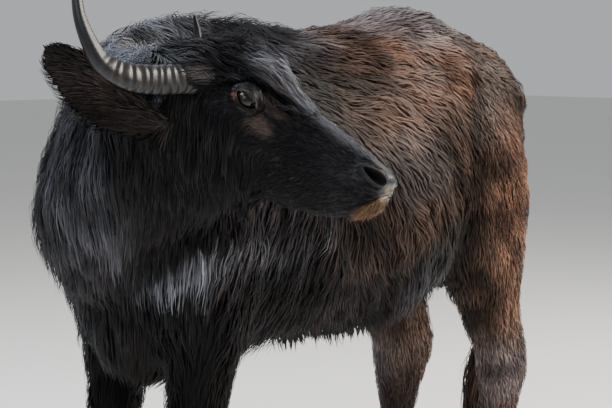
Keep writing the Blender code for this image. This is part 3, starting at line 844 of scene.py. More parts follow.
def from_line(points: Array, line: Array) -> Tuple[Array, Array]:
    """How far each place is from a line of points, and how far along the line it is.

    Args:
        points: the places.
        line: the points of the line.

    Returns:
        The distances, and the shares of the line's length.
    """
    best, share = np.full(len(points), 1e9), np.zeros(len(points))
    for i, (start, end) in enumerate(zip(line, line[1:])):
        leg = end - start
        t = np.clip(((points - start) @ leg) / (leg @ leg), 0, 1)
        gap = np.linalg.norm(points - start - t[:, None] * leg, axis=-1)
        closer = gap < best
        best[closer] = gap[closer]
        share[closer] = (i + t[closer]) / (len(line) - 1)
    return best, share


class Web:
    """A mesh's vertices and edges as arrays, for evening out what is stored on them."""

    def __init__(self, mesh: Mesh) -> None:
        """Reads the mesh."""
        self.mesh = mesh
        self.points = read(mesh.vertices, "co", 3).astype(float)
        self.edges = read(mesh.edges, "vertices", 2, np.int32)
        self.degree = np.bincount(self.edges.ravel(), minlength=len(self.points)).astype(float)

    def around(self, values: Array) -> Array:
        """The mean of each vertex's neighbours."""
        one, other = self.edges.T
        size = len(values)
        total = np.empty_like(values)
        for k, column in enumerate(values.T):
            total[:, k] = np.bincount(one, column[other], size) + np.bincount(other, column[one], size)
        return total / np.maximum(self.degree, 1)[:, None]

    def spread(self, values: Array, steps: int, share: float = 0.5) -> Array:
        """Values evened out over the surface."""
        for _ in range(steps):
            values = values + share * (self.around(values) - values)
        return values

    def relax(self, weight: Array, steps: int) -> None:
        """Evens out the surface itself, without shrinking it much."""
        for _ in range(steps):
            for share in (0.55, -0.5):
                self.points = self.points + weight[:, None] * share * (self.around(self.points) - self.points)

    def store(self) -> None:
        """Puts the places back into the mesh."""
        write(self.mesh.vertices, "co", self.points)
        self.mesh.update()

    def normals(self) -> Array:
        """The vertex normals of the places as they are now."""
        self.store()
        return read(self.mesh.vertex_normals, "vector", 3).astype(float)


def flesh_tree() -> Tuple[BVHTree, List[int]]:
    """The solids of the flesh for looking up the nearest, and the part that each face belongs to."""
    vertices: List[Vector] = []
    faces: List[Tuple[int, ...]] = []
    owner: List[int] = []
    for number, node in enumerate(FLESH):
        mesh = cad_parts[node].data
        start = len(vertices)
        vertices += [v.co.copy() for v in mesh.vertices]
        faces += [tuple(start + i for i in p.vertices) for p in mesh.polygons]
        owner += [number] * len(mesh.polygons)
    return BVHTree.FromPolygons(vertices, faces), owner


@dataclass
class Skin:
    """One skin for all the flesh: shrunk by the coat's depth, finer and modelled on the face."""

    voxel: float = 0.0105
    label_spread: int = 5
    body_relax: int = 14
    horn_cut: Triple = (0.0, 0.1, 0.0)
    ear_cut: float = 0.03
    groove: Tuple[float, float] = (0.0065, 0.0032)
    roll: Tuple[float, float, float] = (0.0018, 0.0075, 0.004)
    obj: Object = field(init=False)
    labels: Dict[str, Array] = field(init=False)

    def build(self) -> Object:
        """Builds the skin and returns it."""
        self.obj = self.remeshed()
        self.refine()
        web = Web(self.obj.data)
        self.labels = self.part_shares(web)
        face = self.labels["head"] * ramp(in_head(web.points)[:, 0], 0.22, 0.34)
        keep = np.maximum(self.labels["tail"], face)
        web.relax(1.0 - 0.85 * keep, self.body_relax)
        web.relax(np.full(len(web.points), 1.0), 3)
        self.sink(web)
        self.model_face(web)
        web.store()
        self.open_eyes_and_nostrils()
        for side, _ in SIDES:
            self.add_ear(side)
        web = Web(self.obj.data)
        self.labels = self.part_shares(web)
        self.colour(web)
        data = self.obj.data
        data.uv_layers.active = data.uv_layers.new(name="OFBake")
        edit(self.obj, bpy.ops.uv.smart_project, angle_limit=math.radians(66), island_margin=0.001)
        write(data.polygons, "use_smooth", np.ones(len(data.polygons)), bool)
        data.materials.clear()
        data.materials.append(SkinFinish().material())
        return self.obj

    def remeshed(self) -> Object:
        """The flesh and eyes as one even mesh."""
        copies = [merged_copy(node) for node in (*FLESH, *EYES) if not node.endswith("_ear")]
        for side, word in SIDES:
            way = mirrored((0.0, 1.0, 0.0), side)
            copies.append(self.plug(word + "_horn", mirrored(self.horn_cut, side), way))
            along = unit(mirrored(EAR_AIM[side], side))
            copies.append(self.plug(word + "_ear", mirrored(EAR_ROOT, side) + along * self.ear_cut, along))
        pick(*copies)
        bpy.ops.object.join()
        skin = bpy.context.view_layer.objects.active
        skin.name = skin.data.name = "skin"
        finish_with(skin, "REMESH", mode="VOXEL", voxel_size=self.voxel)
        return skin

    @staticmethod
    def plug(node: str, at: Array, way: Array) -> Object:
        """The root of a horn or ear, cut off flush with the head.

        Args:
            node: the solid that it is the root of.
            at: a place on the cut, in head measures.
            way: the direction in which the rest is cut off, in head measures.

        Returns:
            The root as an object of its own.
        """
        made = merged_copy(node)
        plane = {"plane_co": from_head(at), "plane_no": TURN @ way}
        edit(made, bpy.ops.mesh.bisect, use_fill=True, clear_outer=True, **plane)
        return made

    def add_ear(self, side: int) -> None:
        """Joins one ear, a cupped leaf, to the skin: the left for +1, the right for -1."""
        along, face, edge = ear_axes(side)
        angle = 2 * math.pi * np.arange(40) / 40
        rings = []
        for share, half_width, cup, half_thick, drop in smooth_rows(EAR_STATIONS, 4):
            middle = np.array(EAR_ROOT) + along * EAR_LENGTH * share - np.array((0.0, 0.0, drop))
            across = np.cos(angle)
            depth = cup * across**2 + half_thick * np.sin(angle)
            ring = middle + np.outer(half_width * across, edge) + np.outer(depth, face)
            rings.append(ring * np.array((1.0, side, 1.0)))
        ear = loft("ear_leaf", from_head(np.array(rings)))
        finish_with(self.obj, "BOOLEAN", operation="UNION", object=ear, solver="EXACT")
        bpy.data.objects.remove(ear)

    def refine(self) -> None:
        """Splits the faces of the head finer, and those of the muzzle and eyes finest."""
        for back, half_width, bottom, round_eye in ((0.1, 0.14, -0.2, 0.0), (0.4, 0.1, -0.13, 0.046)):
            centres = read(self.obj.data.polygons, "center", 3)
            h = folded(in_head(centres.astype(float)), 1)
            f, l, u = h.T
            chosen = (f > back) & (f < 0.6) & (l < half_width) & (u > bottom)
            chosen |= np.linalg.norm(h - np.array(EYE_MIDDLE), axis=-1) < round_eye
            chosen &= centres[:, 2] > 0.75
            edit(self.obj, bpy.ops.mesh.select_mode, type="FACE")
            edit(self.obj, bpy.ops.mesh.select_all, action="DESELECT")
            write(self.obj.data.polygons, "select", chosen, bool)
            bpy.ops.object.mode_set(mode="EDIT")
            bpy.ops.mesh.subdivide(number_cuts=1)
            bpy.ops.object.mode_set(mode="OBJECT")

    def part_shares(self, web: Web) -> Dict[str, Array]:
        """How far each vertex belongs to each part of the flesh, soft at the borders."""
        tree, owner = flesh_tree()
        shares = np.zeros((len(web.points), len(FLESH)))
        for i, point in enumerate(web.points.tolist()):
            shares[i, owner[tree.find_nearest(point)[2]]] = 1.0
        shares = web.spread(shares, self.label_spread)
        return {node: shares[:, number] for number, node in enumerate(FLESH)}

    def sink(self, web: Web) -> None:
        """Moves the skin inwards by the depth of the coat, the head station by station."""
        coat = CoatField(web.points, web.normals(), self.labels)
        depth = CoatField.blended(coat.region_weights(), "depth") + coat.hanging_depth()
        depth = web.spread(depth[:, None], 6)
        head = self.labels["head"][:, None]
        move = head * self.head_move(web.points) - (1 - head) * coat.normals * depth
        web.points = web.points + web.spread(move, 8)
        web.relax((1 - head[:, 0]) * 0.8, 4)

    @staticmethod
    def head_move(points: Array) -> Array:
        """How the skin of the head lies back from the solid at each place."""
        h = in_head(points)
        f, l, u = h.T
        stations, *columns = np.array(HEAD_COAT).T
        middle, top, bottom, half, over, beside, under = (np.interp(f, stations, c) for c in columns)
        from_horn = np.linalg.norm(folded(h, 1) - np.array((0.095, 0.085, -0.02)), axis=-1)
        collar = 1 - 0.65 * np.exp(-((from_horn / 0.045) ** 2))
        over, beside = over * collar, beside * collar
        rise = -(u - middle) * over / (top - middle)
        rise = np.where(u > middle, rise, (middle - u) * under / (middle - bottom))
        return np.stack([np.zeros(len(f)), -l * beside / half, rise], -1) @ TURN.T

    def model_face(self, web: Web) -> None:
        """Wings of the nose, lips, brows and the line of the mouth."""
        h = in_head(web.points)
        move = np.zeros(h.shape)
        for swell in FACE_SWELLS:
            for side, _ in SIDES:
                move += swell.apply(h, side)
        fine = ramp(h[:, 0], 0.14, 0.18) * self.labels["head"]
        h = h + move * fine[:, None]
        normals = web.normals() @ TURN
        depth, width = self.groove
        height, off, breadth = self.roll
        for side, _ in SIDES:
            gap, share = from_line(h, smooth_rows([mirrored(p, side) for p in MOUTH_LINE], 4))
            fade = 1.0 - ramp(share, 0.8, 1.0)
            groove = np.exp(-((gap / width) ** 2)) * depth * fade
            roll = np.exp(-(((gap - off) / breadth) ** 2)) * height * fade
            h = h + normals * ((roll - groove) * fine)[:, None]
        web.points = from_head(h)

    def open_eyes_and_nostrils(self) -> None:
        """Cuts the lids and nostrils into the skin as rings of their own."""
        mesh = bmesh.new()
        mesh.from_mesh(self.obj.data)
        for side, _ in SIDES:
            EyeOpening(side).cut(mesh)
            NostrilOpening(side).cut(mesh)
        self.keep_largest(mesh)
        bmesh.ops.recalc_face_normals(mesh, faces=mesh.faces)
        if mesh.calc_volume(signed=True) < 0:
            bmesh.ops.reverse_faces(mesh, faces=mesh.faces)
        mesh.to_mesh(self.obj.data)
        mesh.free()
        self.obj.data.update()

    @staticmethod
    def keep_largest(mesh: bmesh.types.BMesh) -> None:
        """Takes out every shell but the largest."""
        left = dict.fromkeys(mesh.verts)
        shells: List[Verts] = []
        while left:
            shell = [left.popitem()[0]]
            for vertex in shell:
                for edge in vertex.link_edges:
                    other = edge.other_vert(vertex)
                    if other in left:
                        del left[other]
                        shell.append(other)
            shells.append(shell)
        shells.sort(key=len)
        loose = [vertex for shell in shells[:-1] for vertex in shell]
        bmesh.ops.delete(mesh, geom=loose, context="VERTS")

    def colour(self, web: Web) -> None:
        """Stores the coat's markings, the painted light and shade, and the bare, lidded, rusty and wet places.
        """
        coat = CoatField(web.points, web.normals(), self.labels)
        f, l, u = coat.mirror.T
        head = self.labels["head"]
        bare = head * coat.bare_nose()
        lids = head * (1.0 - ramp(oval(coat.mirror, EYE_MIDDLE, (0.034, 0.03, 0.026)), 0.75, 1.05))
        tear = head * Patch((0.184, 0.095, -0.012), (0.013, 0.02, 0.012), 0.9).at(coat.mirror)
        moist = ramp(f + 0.9 * np.maximum(u, 0), 0.492, 0.503) * (1 - ramp(l, 0.04, 0.052))
        margin = 1.0 - ramp(oval(coat.mirror, EYE_MIDDLE, (0.0225, 0.03, 0.0165)), 0.85, 1.0)
        film = 0.8 * bare * ramp(f, 0.5005, 0.5055) * (1 - ramp(u, -0.002, 0.006)) * ramp(u, -0.03, -0.022)
        paint(self.obj.data, "markings", *coat.markings())
        paint(self.obj.data, "hide", bare, lids, tear, np.maximum(bare * moist, head * margin * 0.6))
        # Painted light and shade with broad patches, and the film.
        paint(self.obj.data, "light", *coat.light(), film, 1.0)


# ---- lids and nostrils
Ring = Tuple[float, Triple]


@dataclass
class Opening:
    """A hole in the skin edged by rings that the skin flows into.

    look is the way that it faces and slope the lean of its long axis in degrees. reach has half the
    width and height of the skin that is taken out, and how deep that may lie. A row of profile is one
    ring: how far it leaves the cut edge, and its measures.
    """

    side: int
    middle: Triple
    look: Triple
    slope: float
    reach: Triple
    profile: Rows

    def axes(self) -> Tuple[Array, Array, Array, Array]:
        """The opening's middle, and its across, rise and outward directions, in head measures."""
        out = unit(mirrored(self.look, self.side))
        lean = math.radians(self.slope)
        across = across_from(np.array([math.cos(lean), 0.0, math.sin(lean)]), out)
        rise = np.cross(out, across) * (-self.side)
        return mirrored(self.middle, self.side), across, rise, out

    def ring(self, row: Sequence[float], angle: float) -> Ring:
        """One ring at one angle: how far it leaves the cut edge, and its across, rise and outward place."""
        raise NotImplementedError

    def cut(self, mesh: bmesh.types.BMesh) -> None:
        """Takes out the skin over the opening and puts the rings in its place."""
        middle, across, rise, out = self.axes()
        half_width, half_height, depth = self.reach
        local: Verts = []
        for vertex in mesh.verts:
            gap = in_head(np.array(vertex.co)) - middle
            x, y, z = gap @ across, gap @ rise, gap @ out
            if abs(z) < depth and (x / half_width) ** 2 + (y / half_height) ** 2 < 1:
                local.append(vertex)
        inside = set(local)
        gone = [f for f in mesh.faces if all(v in inside for v in f.verts)]
        bmesh.ops.delete(mesh, geom=gone, context="FACES")
        loop = self.edge_loop(mesh)
        for _ in range(8):
            around = [(loop[i - 1].co + loop[(i + 1) % len(loop)].co) / 2 for i in range(len(loop))]
            for vertex, even in zip(loop, around):
                vertex.co = vertex.co.lerp(even, 0.5)
        edge_places = [in_head(np.array(vertex.co)) for vertex in loop]
        gaps = [place - middle for place in edge_places]
        angles = np.array([math.atan2(gap @ rise / half_height, gap @ across / half_width) for gap in gaps])
        angles = self.evened(np.unwrap(angles))
        before = loop
        for row in self.profile:
            made = []
            for edge_place, angle in zip(edge_places, angles):
                share, place = self.ring(row, angle)
                target = middle + across * place[0] + rise * place[1] + out * place[2]
                made.append(mesh.verts.new(from_head(edge_place * (1 - share) + target * share)))
            for i in range(len(loop)):
                j = (i + 1) % len(loop)
                mesh.faces.new((before[i], before[j], made[j], made[i]))
            before = made
        mesh.faces.new(before)

    @staticmethod
    def edge_loop(mesh: bmesh.types.BMesh) -> Verts:
        """The longest open edge of the skin, with any other closed by a face."""
        ahead_of: Dict[bmesh.types.BMVert, Verts] = {}
        for edge in [e for e in mesh.edges if e.is_boundary]:
            for one, other in (edge.verts, reversed(edge.verts)):
                ahead_of.setdefault(one, []).append(other)
        loops: List[Verts] = []
        left = dict.fromkeys(ahead_of)
        while left:
            loop = [left.popitem()[0]]
            for here in loop:
                ahead = [v for v in ahead_of[here] if v in left]
                if ahead:
                    del left[ahead[0]]
                    loop.append(ahead[0])
            loops.append(loop)
        longest = max(loops, key=len)
        for stray in loops:
            if stray is not longest and len(stray) > 2:
                mesh.faces.new(stray)
        return longest

    @staticmethod
    def evened(angles: Array) -> List[float]:
        """Angles that go round in even steps and stay as near as they can to the given ones."""
        count = len(angles)
        turn = 2 * math.pi * math.copysign(1, angles[-1] - angles[0]) / count
        even = np.arange(count) * turn
        return (even + (angles - even).mean()).tolist()


@dataclass
class EyeOpening(Opening):
    """The lids, wrapped over the eyeball: fold, crease, lid and margin, from the skin inwards.

    A row has half the width, the heights of the upper and lower lid, and the lift over the eyeball.
    """

    middle: Triple = EYE_MIDDLE
    look: Triple = (0.3, 0.93, 0.14)
    slope: float = -9.0
    reach: Triple = (0.035, 0.031, 0.04)
    profile: Rows = (
        (0.3, 0.032, 0.028, 0.0265, 0.0034),
        (0.7, 0.029, 0.025, 0.0232, 0.0044),
        (1.0, 0.0264, 0.0224, 0.0204, 0.004),
        (1.0, 0.025, 0.0204, 0.0188, 0.003),
        (1.0, 0.0236, 0.0184, 0.0174, 0.004),
        (1.0, 0.0216, 0.0152, 0.0156, 0.005),
        (1.0, 0.02, 0.0126, 0.0142, 0.0042),
        (1.0, 0.0192, 0.0117, 0.0135, 0.0026),
        (1.0, 0.0188, 0.0114, 0.0132, 0.0003),
        (1.0, 0.0186, 0.0112, 0.013, -0.004),
    )

    def ring(self, row: Sequence[float], angle: float) -> Ring:
        """One ring of the lids at one angle."""
        share, width, top, bottom, over = row
        cosine, sine = math.cos(angle), math.sin(angle)
        corner = 1.0 + 0.1 * abs(cosine) ** 6 * (width < 0.021)
        x = width * cosine * corner
        y = (top if sine > 0 else bottom) * sine * (1.0 - 0.18 * (1 - abs(sine)) * (width < 0.023))
        radius = EYE_RADIUS + over
        lift = math.sqrt(max(radius**2 - x**2 - y**2, 0.0)) if x**2 + y**2 < radius**2 * 0.98 else 0.0
        return share, (x, y, max(lift, radius * 0.35))


@dataclass
class NostrilOpening(Opening):
    """The rolled edge of a nostril and the dark hollow behind it: slope, edge, throat and hollow.

    A row has half the width and height, and the lift over the skin.
    """

    middle: Triple = NOSTRIL_MIDDLE
    look: Triple = (0.42, 0.82, 0.38)
    slope: float = 7.0
    reach: Triple = (0.032, 0.0205, 0.03)
    profile: Rows = (
        (0.35, 0.0296, 0.0176, 0.0022),
        (0.75, 0.028, 0.0155, 0.0034),
        (1.0, 0.0268, 0.0141, 0.0036),
        (1.0, 0.0259, 0.0131, 0.0026),
        (1.0, 0.0249, 0.0123, 0.0002),
        (1.0, 0.0236, 0.0115, -0.006),
        (1.0, 0.0195, 0.0095, -0.017),
        (1.0, 0.0115, 0.006, -0.027),
    )

    def ring(self, row: Sequence[float], angle: float) -> Ring:
        """One ring of the nostril at one angle, lower and narrower towards the back."""
        share, width, height, lift = row
        cosine, sine = math.cos(angle), math.sin(angle)
        front = 0.5 + 0.5 * cosine
        y = height * sine * (0.52 + 0.48 * front) + 0.002 * (1 - front) ** 2
        return share, (width * cosine, y, lift - 0.003 * (1 - front))


# ---- the coat's field
# Patches on the hair, on the head and on the body, paler or deeper than usual. Those marked below are painted
# light, painted shade or painted sheen; the rest are the hair's own colour.
# Painted light on the face: the bridge and side of the nose, and below the eye.
FACE_PAINTED_LIGHT = (
    Patch((0.4, 0.05, -0.01), (0.1, 0.06, 0.05), 0.22),
    Patch((0.25, 0.08, -0.028), (0.052, 0.04, 0.026), 0.17),
    Patch((0.38, 0.015, 0.036), (0.15, 0.034, 0.03), 0.36),
)
# Painted light on the hock, the thigh and the top of the back, and painted shade in three patches on the flank
# and shoulder.
BODY_PAINTED_LIGHT = (
    Patch((0.21, 0.47, 0.46), (0.16, 0.2, 0.18), 0.56),
    Patch((0.26, 0.46, 0.84), (0.2, 0.15, 0.36), 0.36),
    Patch((0.26, 0.27, 0.84), (0.16, 0.09, 0.36), -0.2),
    Patch((0.2, -0.17, 1.15), (0.16, 0.15, 0.16), -0.2),
    Patch((0.26, 0.16, 1.12), (0.14, 0.07, 0.2), -0.16),
    Patch((0.1, 0.22, 1.36), (0.26, 0.38, 0.13), 0.4),
)
# Painted light on the side of the neck.
NECK_PAINTED_LIGHT = Patch((0.2, -0.88, 1.0), (0.2, 0.2, 0.3), 0.46)
# Painted bluish sheen on the side of the neck, given as grey.
NECK_PAINTED_SHEEN = Patch((0.25, -0.9, 1.0), (0.22, 0.24, 0.34), 0.18)
# Grey hair along the bridge of the nose, partly a painted highlight.
NOSE_GREY_AND_HIGHLIGHT = Patch((0.38, 0.015, 0.035), (0.15, 0.034, 0.03), 0.5)
BREAST_BROWN = Patch((0.05, -0.62, 0.6), (0.16, 0.14, 0.14), 0.6)
BODY_RUST = (
    Patch((0.2, 0.02, 1.2), (0.22, 0.28, 0.2), 0.5),
    Patch((0.18, 0.16, 1.26), (0.16, 0.24, 0.16), 0.55),
    Patch((0.26, 0.5, 0.86), (0.2, 0.24, 0.46), 0.66),
)
# Grey hair on the back, flank and hock, partly painted sheen and highlight.
BODY_GREY_AND_SHEEN = (
    Patch((0.07, -0.22, 1.33), (0.16, 0.2, 0.12), 0.26),
    Patch((0.08, 0.2, 1.36), (0.2, 0.34, 0.1), 0.3),
    Patch((0.21, 0.44, 0.44), (0.14, 0.18, 0.15), 0.22),
    Patch((0.29, 0.14, 0.75), (0.12, 0.16, 0.14), 0.3),
    Patch((0.3, 0.02, 1.04), (0.14, 0.2, 0.14), 0.18),
)
# The height and the strength of the grey band across the shoulder at stations along the body.
BAND_HEIGHT = (-0.68, -0.61, -0.53, -0.45, -0.32, -0.22), (0.8, 0.882, 0.896, 0.89, 0.88, 0.905)
BAND_STRENGTH = (-0.7, -0.64, -0.56, -0.48, -0.36, -0.22, -0.16), (0.0, 1.0, 0.62, 0.3, 0.2, 0.2, 0.0)
FACE_TAN = (
    Patch((0.252, 0.08, -0.03), (0.04, 0.036, 0.02), 0.85),
    Patch((0.216, 0.086, 0.028), (0.03, 0.03, 0.01), 0.6),
    Patch((0.08, 0.098, -0.12), (0.04, 0.04, 0.04), 0.7),
    Patch((0.262, 0.066, 0.004), (0.034, 0.03, 0.018), 0.75),
)


@dataclass
class CoatField:
    """What the coat does at each place on the skin: its region, lie, fall and colours.

    points are in the row frame, and labels has the share of each part of the flesh.
    """

    points: Array
    normals: Array
    labels: Dict[str, Array]

    def __post_init__(self) -> None:
        """Works out the body and head measures, and the same ones folded over to the left."""
        self.body, self.h = self.points - SHIFT, in_head(self.points)
        self.left, self.mirror = folded(self.body, 0), folded(self.h, 1)
        self.head, self.neck, self.trunk = (self.labels[name] for name in ("head", "neck", "trunk"))

    def part(self, *names: str) -> Array:
        """The share of some parts of the flesh together."""
        return sum(self.labels[name] for name in names)

    def region_weights(self) -> Array:
        """The share of each region at each place: one column for each, adding up to 1."""
        _, y, z = self.body.T
        f, out, u = self.mirror.T
        head, neck, tail = self.head, self.neck, self.labels["tail"]
        fore, hind = self.part(*LEGS[:2]), self.part(*LEGS[2:])
        bare = self.bare_nose()
        lip = lower_lip(self.h, 0.478, 0.49) * (1 - bare)
        edge = forelock_edge(f)
        brow = (1 - ramp(out - edge, -0.005, 0.005)) * ramp(u, -0.045, -0.022) * (1 - ramp(f, 0.295, 0.312))
        orbit = ramp(f, 0.115, 0.145) * ramp(u, -0.06, -0.036)
        nose = np.maximum(ramp(f, 0.265, 0.315), orbit)
        nose = np.maximum(nose, ramp(f, 0.2, 0.25) * ramp(u, -0.11, -0.05) * ramp(out, 0.05, 0.07))
        tuft = (1 - ramp(out / np.maximum(edge, 0.01), 0.58, 0.74)) * ramp(f, 0.03, 0.09)
        tuft = tuft * (1 - ramp(f, 0.285, 0.305))
        hairy = head * (1 - bare) * (1 - lip)
        crest = ramp(self.normals[:, 2], 0.3, 0.62) * ramp(z, 1.15, 1.25)
        breast = 1 - ramp(z, 0.84, 0.98)
        low, foot = 1 - ramp(z, 0.38, 0.5), 1 - ramp(z, 0.11, 0.17)
        upper, switch = ramp(z, 0.42, 0.52), 1 - ramp(z, 0.44, 0.54)
        w = {
            Region.MUZZLE: head * bare,
            Region.LIP: head * lip,
            Region.FOREHEAD: hairy * brow * (1 - tuft),
            Region.TUFT: hairy * brow * tuft,
            Region.NOSE: hairy * nose * (1 - brow),
            Region.CHEEK: hairy * (1 - nose) * (1 - brow),
            Region.EAR: self.part("left_ear", "right_ear"),
            Region.CREST: neck * crest,
            Region.CHEST: neck * (1 - crest) * breast,
            Region.NECK: neck * (1 - crest) * (1 - breast),
            Region.THIGH: hind * upper,
            Region.FORELEG: fore * (1 - low),
            Region.SHANK: (fore * low + hind * (1 - upper)) * (1 - foot),
            Region.FOOT: (fore + hind) * foot,
            Region.TAIL: tail * (1 - switch),
            Region.SWITCH: tail * switch,
        }
        rest = self.trunk
        for region, share in (
            (Region.CREST, (1 - ramp(y, -0.24, -0.08)) * ramp(z, 1.2, 1.3)),
            (Region.CHEST, (1 - ramp(y, -0.6, -0.52)) * (1 - ramp(z, 0.86, 0.98))),
            (Region.NECK, (1 - ramp(y, -0.52, -0.38)) * ramp(z, 0.86, 0.98)),
            (Region.SHOULDER, (1 - ramp(y, -0.3, -0.12)) * (1 - ramp(z, 0.98, 1.12))),
            (Region.THIGH, ramp(y, 0.24, 0.34) * (1 - ramp(z, 1.14, 1.24))),
            (Region.BELLY, (1 - ramp(z, 0.66, 0.78)) * ramp(y, -0.42, -0.3)),
            (Region.BACK, ramp(z, 1.1, 1.24)),
        ):
            w[region] = w.get(region, 0.0) + rest * share
            rest = rest * (1 - share)
        w[Region.FLANK] = rest
        made = np.stack([w[region] for region in Region], -1)
        return made / np.maximum(made.sum(-1, keepdims=True), 1e-6)

    def bare_nose(self) -> Array:
        """How hairless and moist the muzzle is."""
        f, out, u = self.mirror.T
        nostril = oval(self.mirror, (0.478, 0.056, 0.005), (0.0262, 0.03, 0.0135))
        front = ramp(f - 0.06 * np.maximum(out - 0.02, 0), 0.4935, 0.4985) * ramp(u, -0.03, -0.018)
        above = Patch((0.48, 0.0, 0.026), (0.034, 0.052, 0.022)).at(self.mirror) * 1.8
        return np.clip(np.maximum(np.maximum(front, above), np.exp(-(nostril**6))), 0, 1)

    @staticmethod
    def blended(weights: Array, name: str) -> Array:
        """One measure of the lie at each place."""
        return weights @ np.array([getattr(region.value, name) for region in Region])

    def hanging_depth(self) -> Array:
        """How much further the skin stands back under jaw, throat, chest and belly, where hair hangs."""
        down = ramp(-self.normals[:, 2], 0.1, 0.9)
        jaw = self.head * (1 - ramp(self.h[:, 0], 0.34, 0.44)) * 0.062
        belly = self.trunk * ramp(self.body[:, 1], -0.45, -0.35) * 0.022
        return down * (jaw + self.neck * 0.04 + belly)

    def ear_way(self) -> Array:
        """Which way the hair of the ears lies: along them, fanning out to both edges."""
        made = np.zeros(self.points.shape)
        for side, word in SIDES:
            along, _, edge = (mirrored(v, side) for v in ear_axes(side))
            offset = (self.h - mirrored(EAR_ROOT, side)) @ edge
            fan = np.clip(offset / 0.045, -1, 1)[:, None] * 0.55
            made += self.labels[word + "_ear"][:, None] * ((along + fan * edge) @ TURN.T)
        return made + 1e-6

    def fall(self, weights: Array) -> Array:
        """Which way the hair lies at each place, along the skin.

        Args:
            weights: the share of each region.

        Returns:
            Directions of length 1 in the tangent plane.
        """
        x, y, z = self.body.T
        f, l, u = self.h.T
        one = np.ones(len(f))
        side = np.clip(l / 0.03, -1, 1)

        def way(right: object, back: object, rise: object) -> Array:
            """A direction in the row frame."""
            return np.stack([right * one, back * one, rise * one], -1)

        def head_way(forward: object, left: object, rise: object) -> Array:
            """A direction in head measures, turned into the row frame."""
            return way(forward, left, rise) @ TURN.T

        edge = forelock_edge(f)
        slope = (forelock_edge(f + 0.012) - forelock_edge(f - 0.012)) / 0.024
        slope = np.clip(slope, -1.1, 0.2) * np.clip(np.abs(l) / edge, 0, 1.1)
        behind = 1 - ramp(f, -0.05, -0.01)
        spill = ramp(f, 0.24, 0.29) * 0.35
        under = ramp(-u, 0.005, 0.06)
        gap = self.h - way(0.207, 0.088 * np.where(l >= 0, 1.0, -1.0), -0.008)
        near = np.exp(-((np.linalg.norm(gap, axis=-1) / 0.034) ** 2))[:, None]
        nose = head_way(-1.0 + 0.55 * under, 0.2 * side, -0.85 * under)
        steep = np.radians(24 + 58 * (1 - ramp(z, 0.78, 1.3)) + 60 * ramp(y, 0.6, 0.68))
        ways = {
            Region.FOREHEAD: head_way(1.0 - 1.6 * behind, side * (slope + spill), -0.4 * spill),
            Region.LIP: head_way(0.25, 0.25 * side, -1.0),
            Region.TUFT: head_way(0.9 - 0.5 * (1 - ramp(f, 0.06, 0.12)), 0.25 * side, 0.5),
            Region.NOSE: unit(nose) * (1 - near) + (unit(gap) @ TURN.T) * near,
            Region.MUZZLE: head_way(-1.0, 0.3 * side, 0.0),
            Region.CHEEK: way(0.0, 0.0, -1.0) + head_way(-0.18, 0.0, 0.0),
            Region.EAR: self.ear_way(),
            Region.NECK: way(0.0, 0.0, -1.0),
            Region.CREST: way(0.0, 0.35, -1.0),
            Region.CHEST: way(0.0, 0.05, -1.0),
            Region.SHOULDER: way(0.0, -0.42, -1.0),
            Region.BACK: way(0.15 * np.clip(x / 0.05, -1, 1), np.cos(steep), -np.sin(steep)),
            Region.FLANK: way(0.0, np.cos(steep), -np.sin(steep)),
            Region.BELLY: way(0.0, 0.25, -1.0),
            Region.THIGH: way(0.0, 0.22, -1.0),
            Region.FORELEG: way(0.0, -0.2, -1.0),
            Region.SHANK: way(0.0, 0.12, -1.0),
            Region.FOOT: way(0.0, -0.1, -1.0),
            Region.TAIL: way(0.0, 0.0, -1.0),
            Region.SWITCH: way(0.0, 0.0, -1.0),
        }
        total = np.zeros(self.points.shape)
        for region, direction in ways.items():
            total += weights[:, region.column, None] * unit(direction)
        calm = (1 - 0.6 * (weights[:, Region.NECK.column] + weights[:, Region.CHEEK.column]))[:, None]
        stray = 0.17 * drift(self.points, 0.09, 3) + 0.12 * drift(self.points, 0.035, 4)
        total = unit(total) + stray * calm
        return unit(total - self.normals * dots(total, self.normals))

    def light(self) -> Array:
        """The painted light and painted shade on the hair at each place, 0.5 being none, and its broad random
        patches.
        """
        _, y, z = self.body.T
        f, out, u = self.mirror.T
        head, neck = self.head, self.neck
        beyond = out - forelock_edge(f)
        face = ramp(f, 0.115, 0.16) * (1 - ramp(f, 0.3, 0.34))
        # Painted shadow in the crease under the forelock, over the eye.
        crease = np.exp(-(((beyond - 0.01) / 0.011) ** 2)) * face * ramp(u, -0.05, -0.02) * (beyond > -0.004)
        cheek = (1 - ramp(u, -0.1, -0.045)) * (1 - 0.55 * ramp(f, 0.34, 0.44))
        top = ramp(f, 0.12, 0.17) * (1 - ramp(f, 0.27, 0.32)) * ramp(u, 0.0, 0.03)
        top = top * (1 - ramp(out, 0.015, 0.06))
        # Painted shade on the cheeks and jaw and in the crease, and painted light on the top of the head.
        lit = 0.5 - 0.21 * cheek - 0.32 * crease + 0.42 * top
        lit = lit + sum(patch.at(self.mirror) for patch in FACE_PAINTED_LIGHT)
        lit = lit * head + 0.5 * (1 - head)
        inner = self.body @ np.array((0.7, 0.7, 0.0))
        # Painted shade on the lower neck and on the throat and chest, and painted light on the neck's upward
        # faces and on a patch at its side.
        lit = lit - 0.4 * ramp(inner, -0.46, -0.3) * neck * (1 - ramp(z, 1.05, 1.2))
        lit = lit - 0.46 * (1 - ramp(z, 0.62, 0.84)) * (1 - ramp(y, -0.5, -0.34)) * (1 - head)
        lit = lit + neck * (0.36 * ramp(self.normals[:, 2], 0.3, 0.7) + NECK_PAINTED_LIGHT.at(self.body))
        lit = lit + sum(patch.at(self.left) for patch in BODY_PAINTED_LIGHT)
        # The grey band across the shoulder, a marking, is made paler as well.
        lit = lit + 0.22 * self.shoulder_band()
        mottle = 0.95 * drift(self.points, 0.055, 61)[:, 0] + 0.3 * drift(self.points, 0.14, 62)[:, 0]
        return np.clip([lit, 0.5 + (1 - 0.6 * head) * mottle], 0, 1)

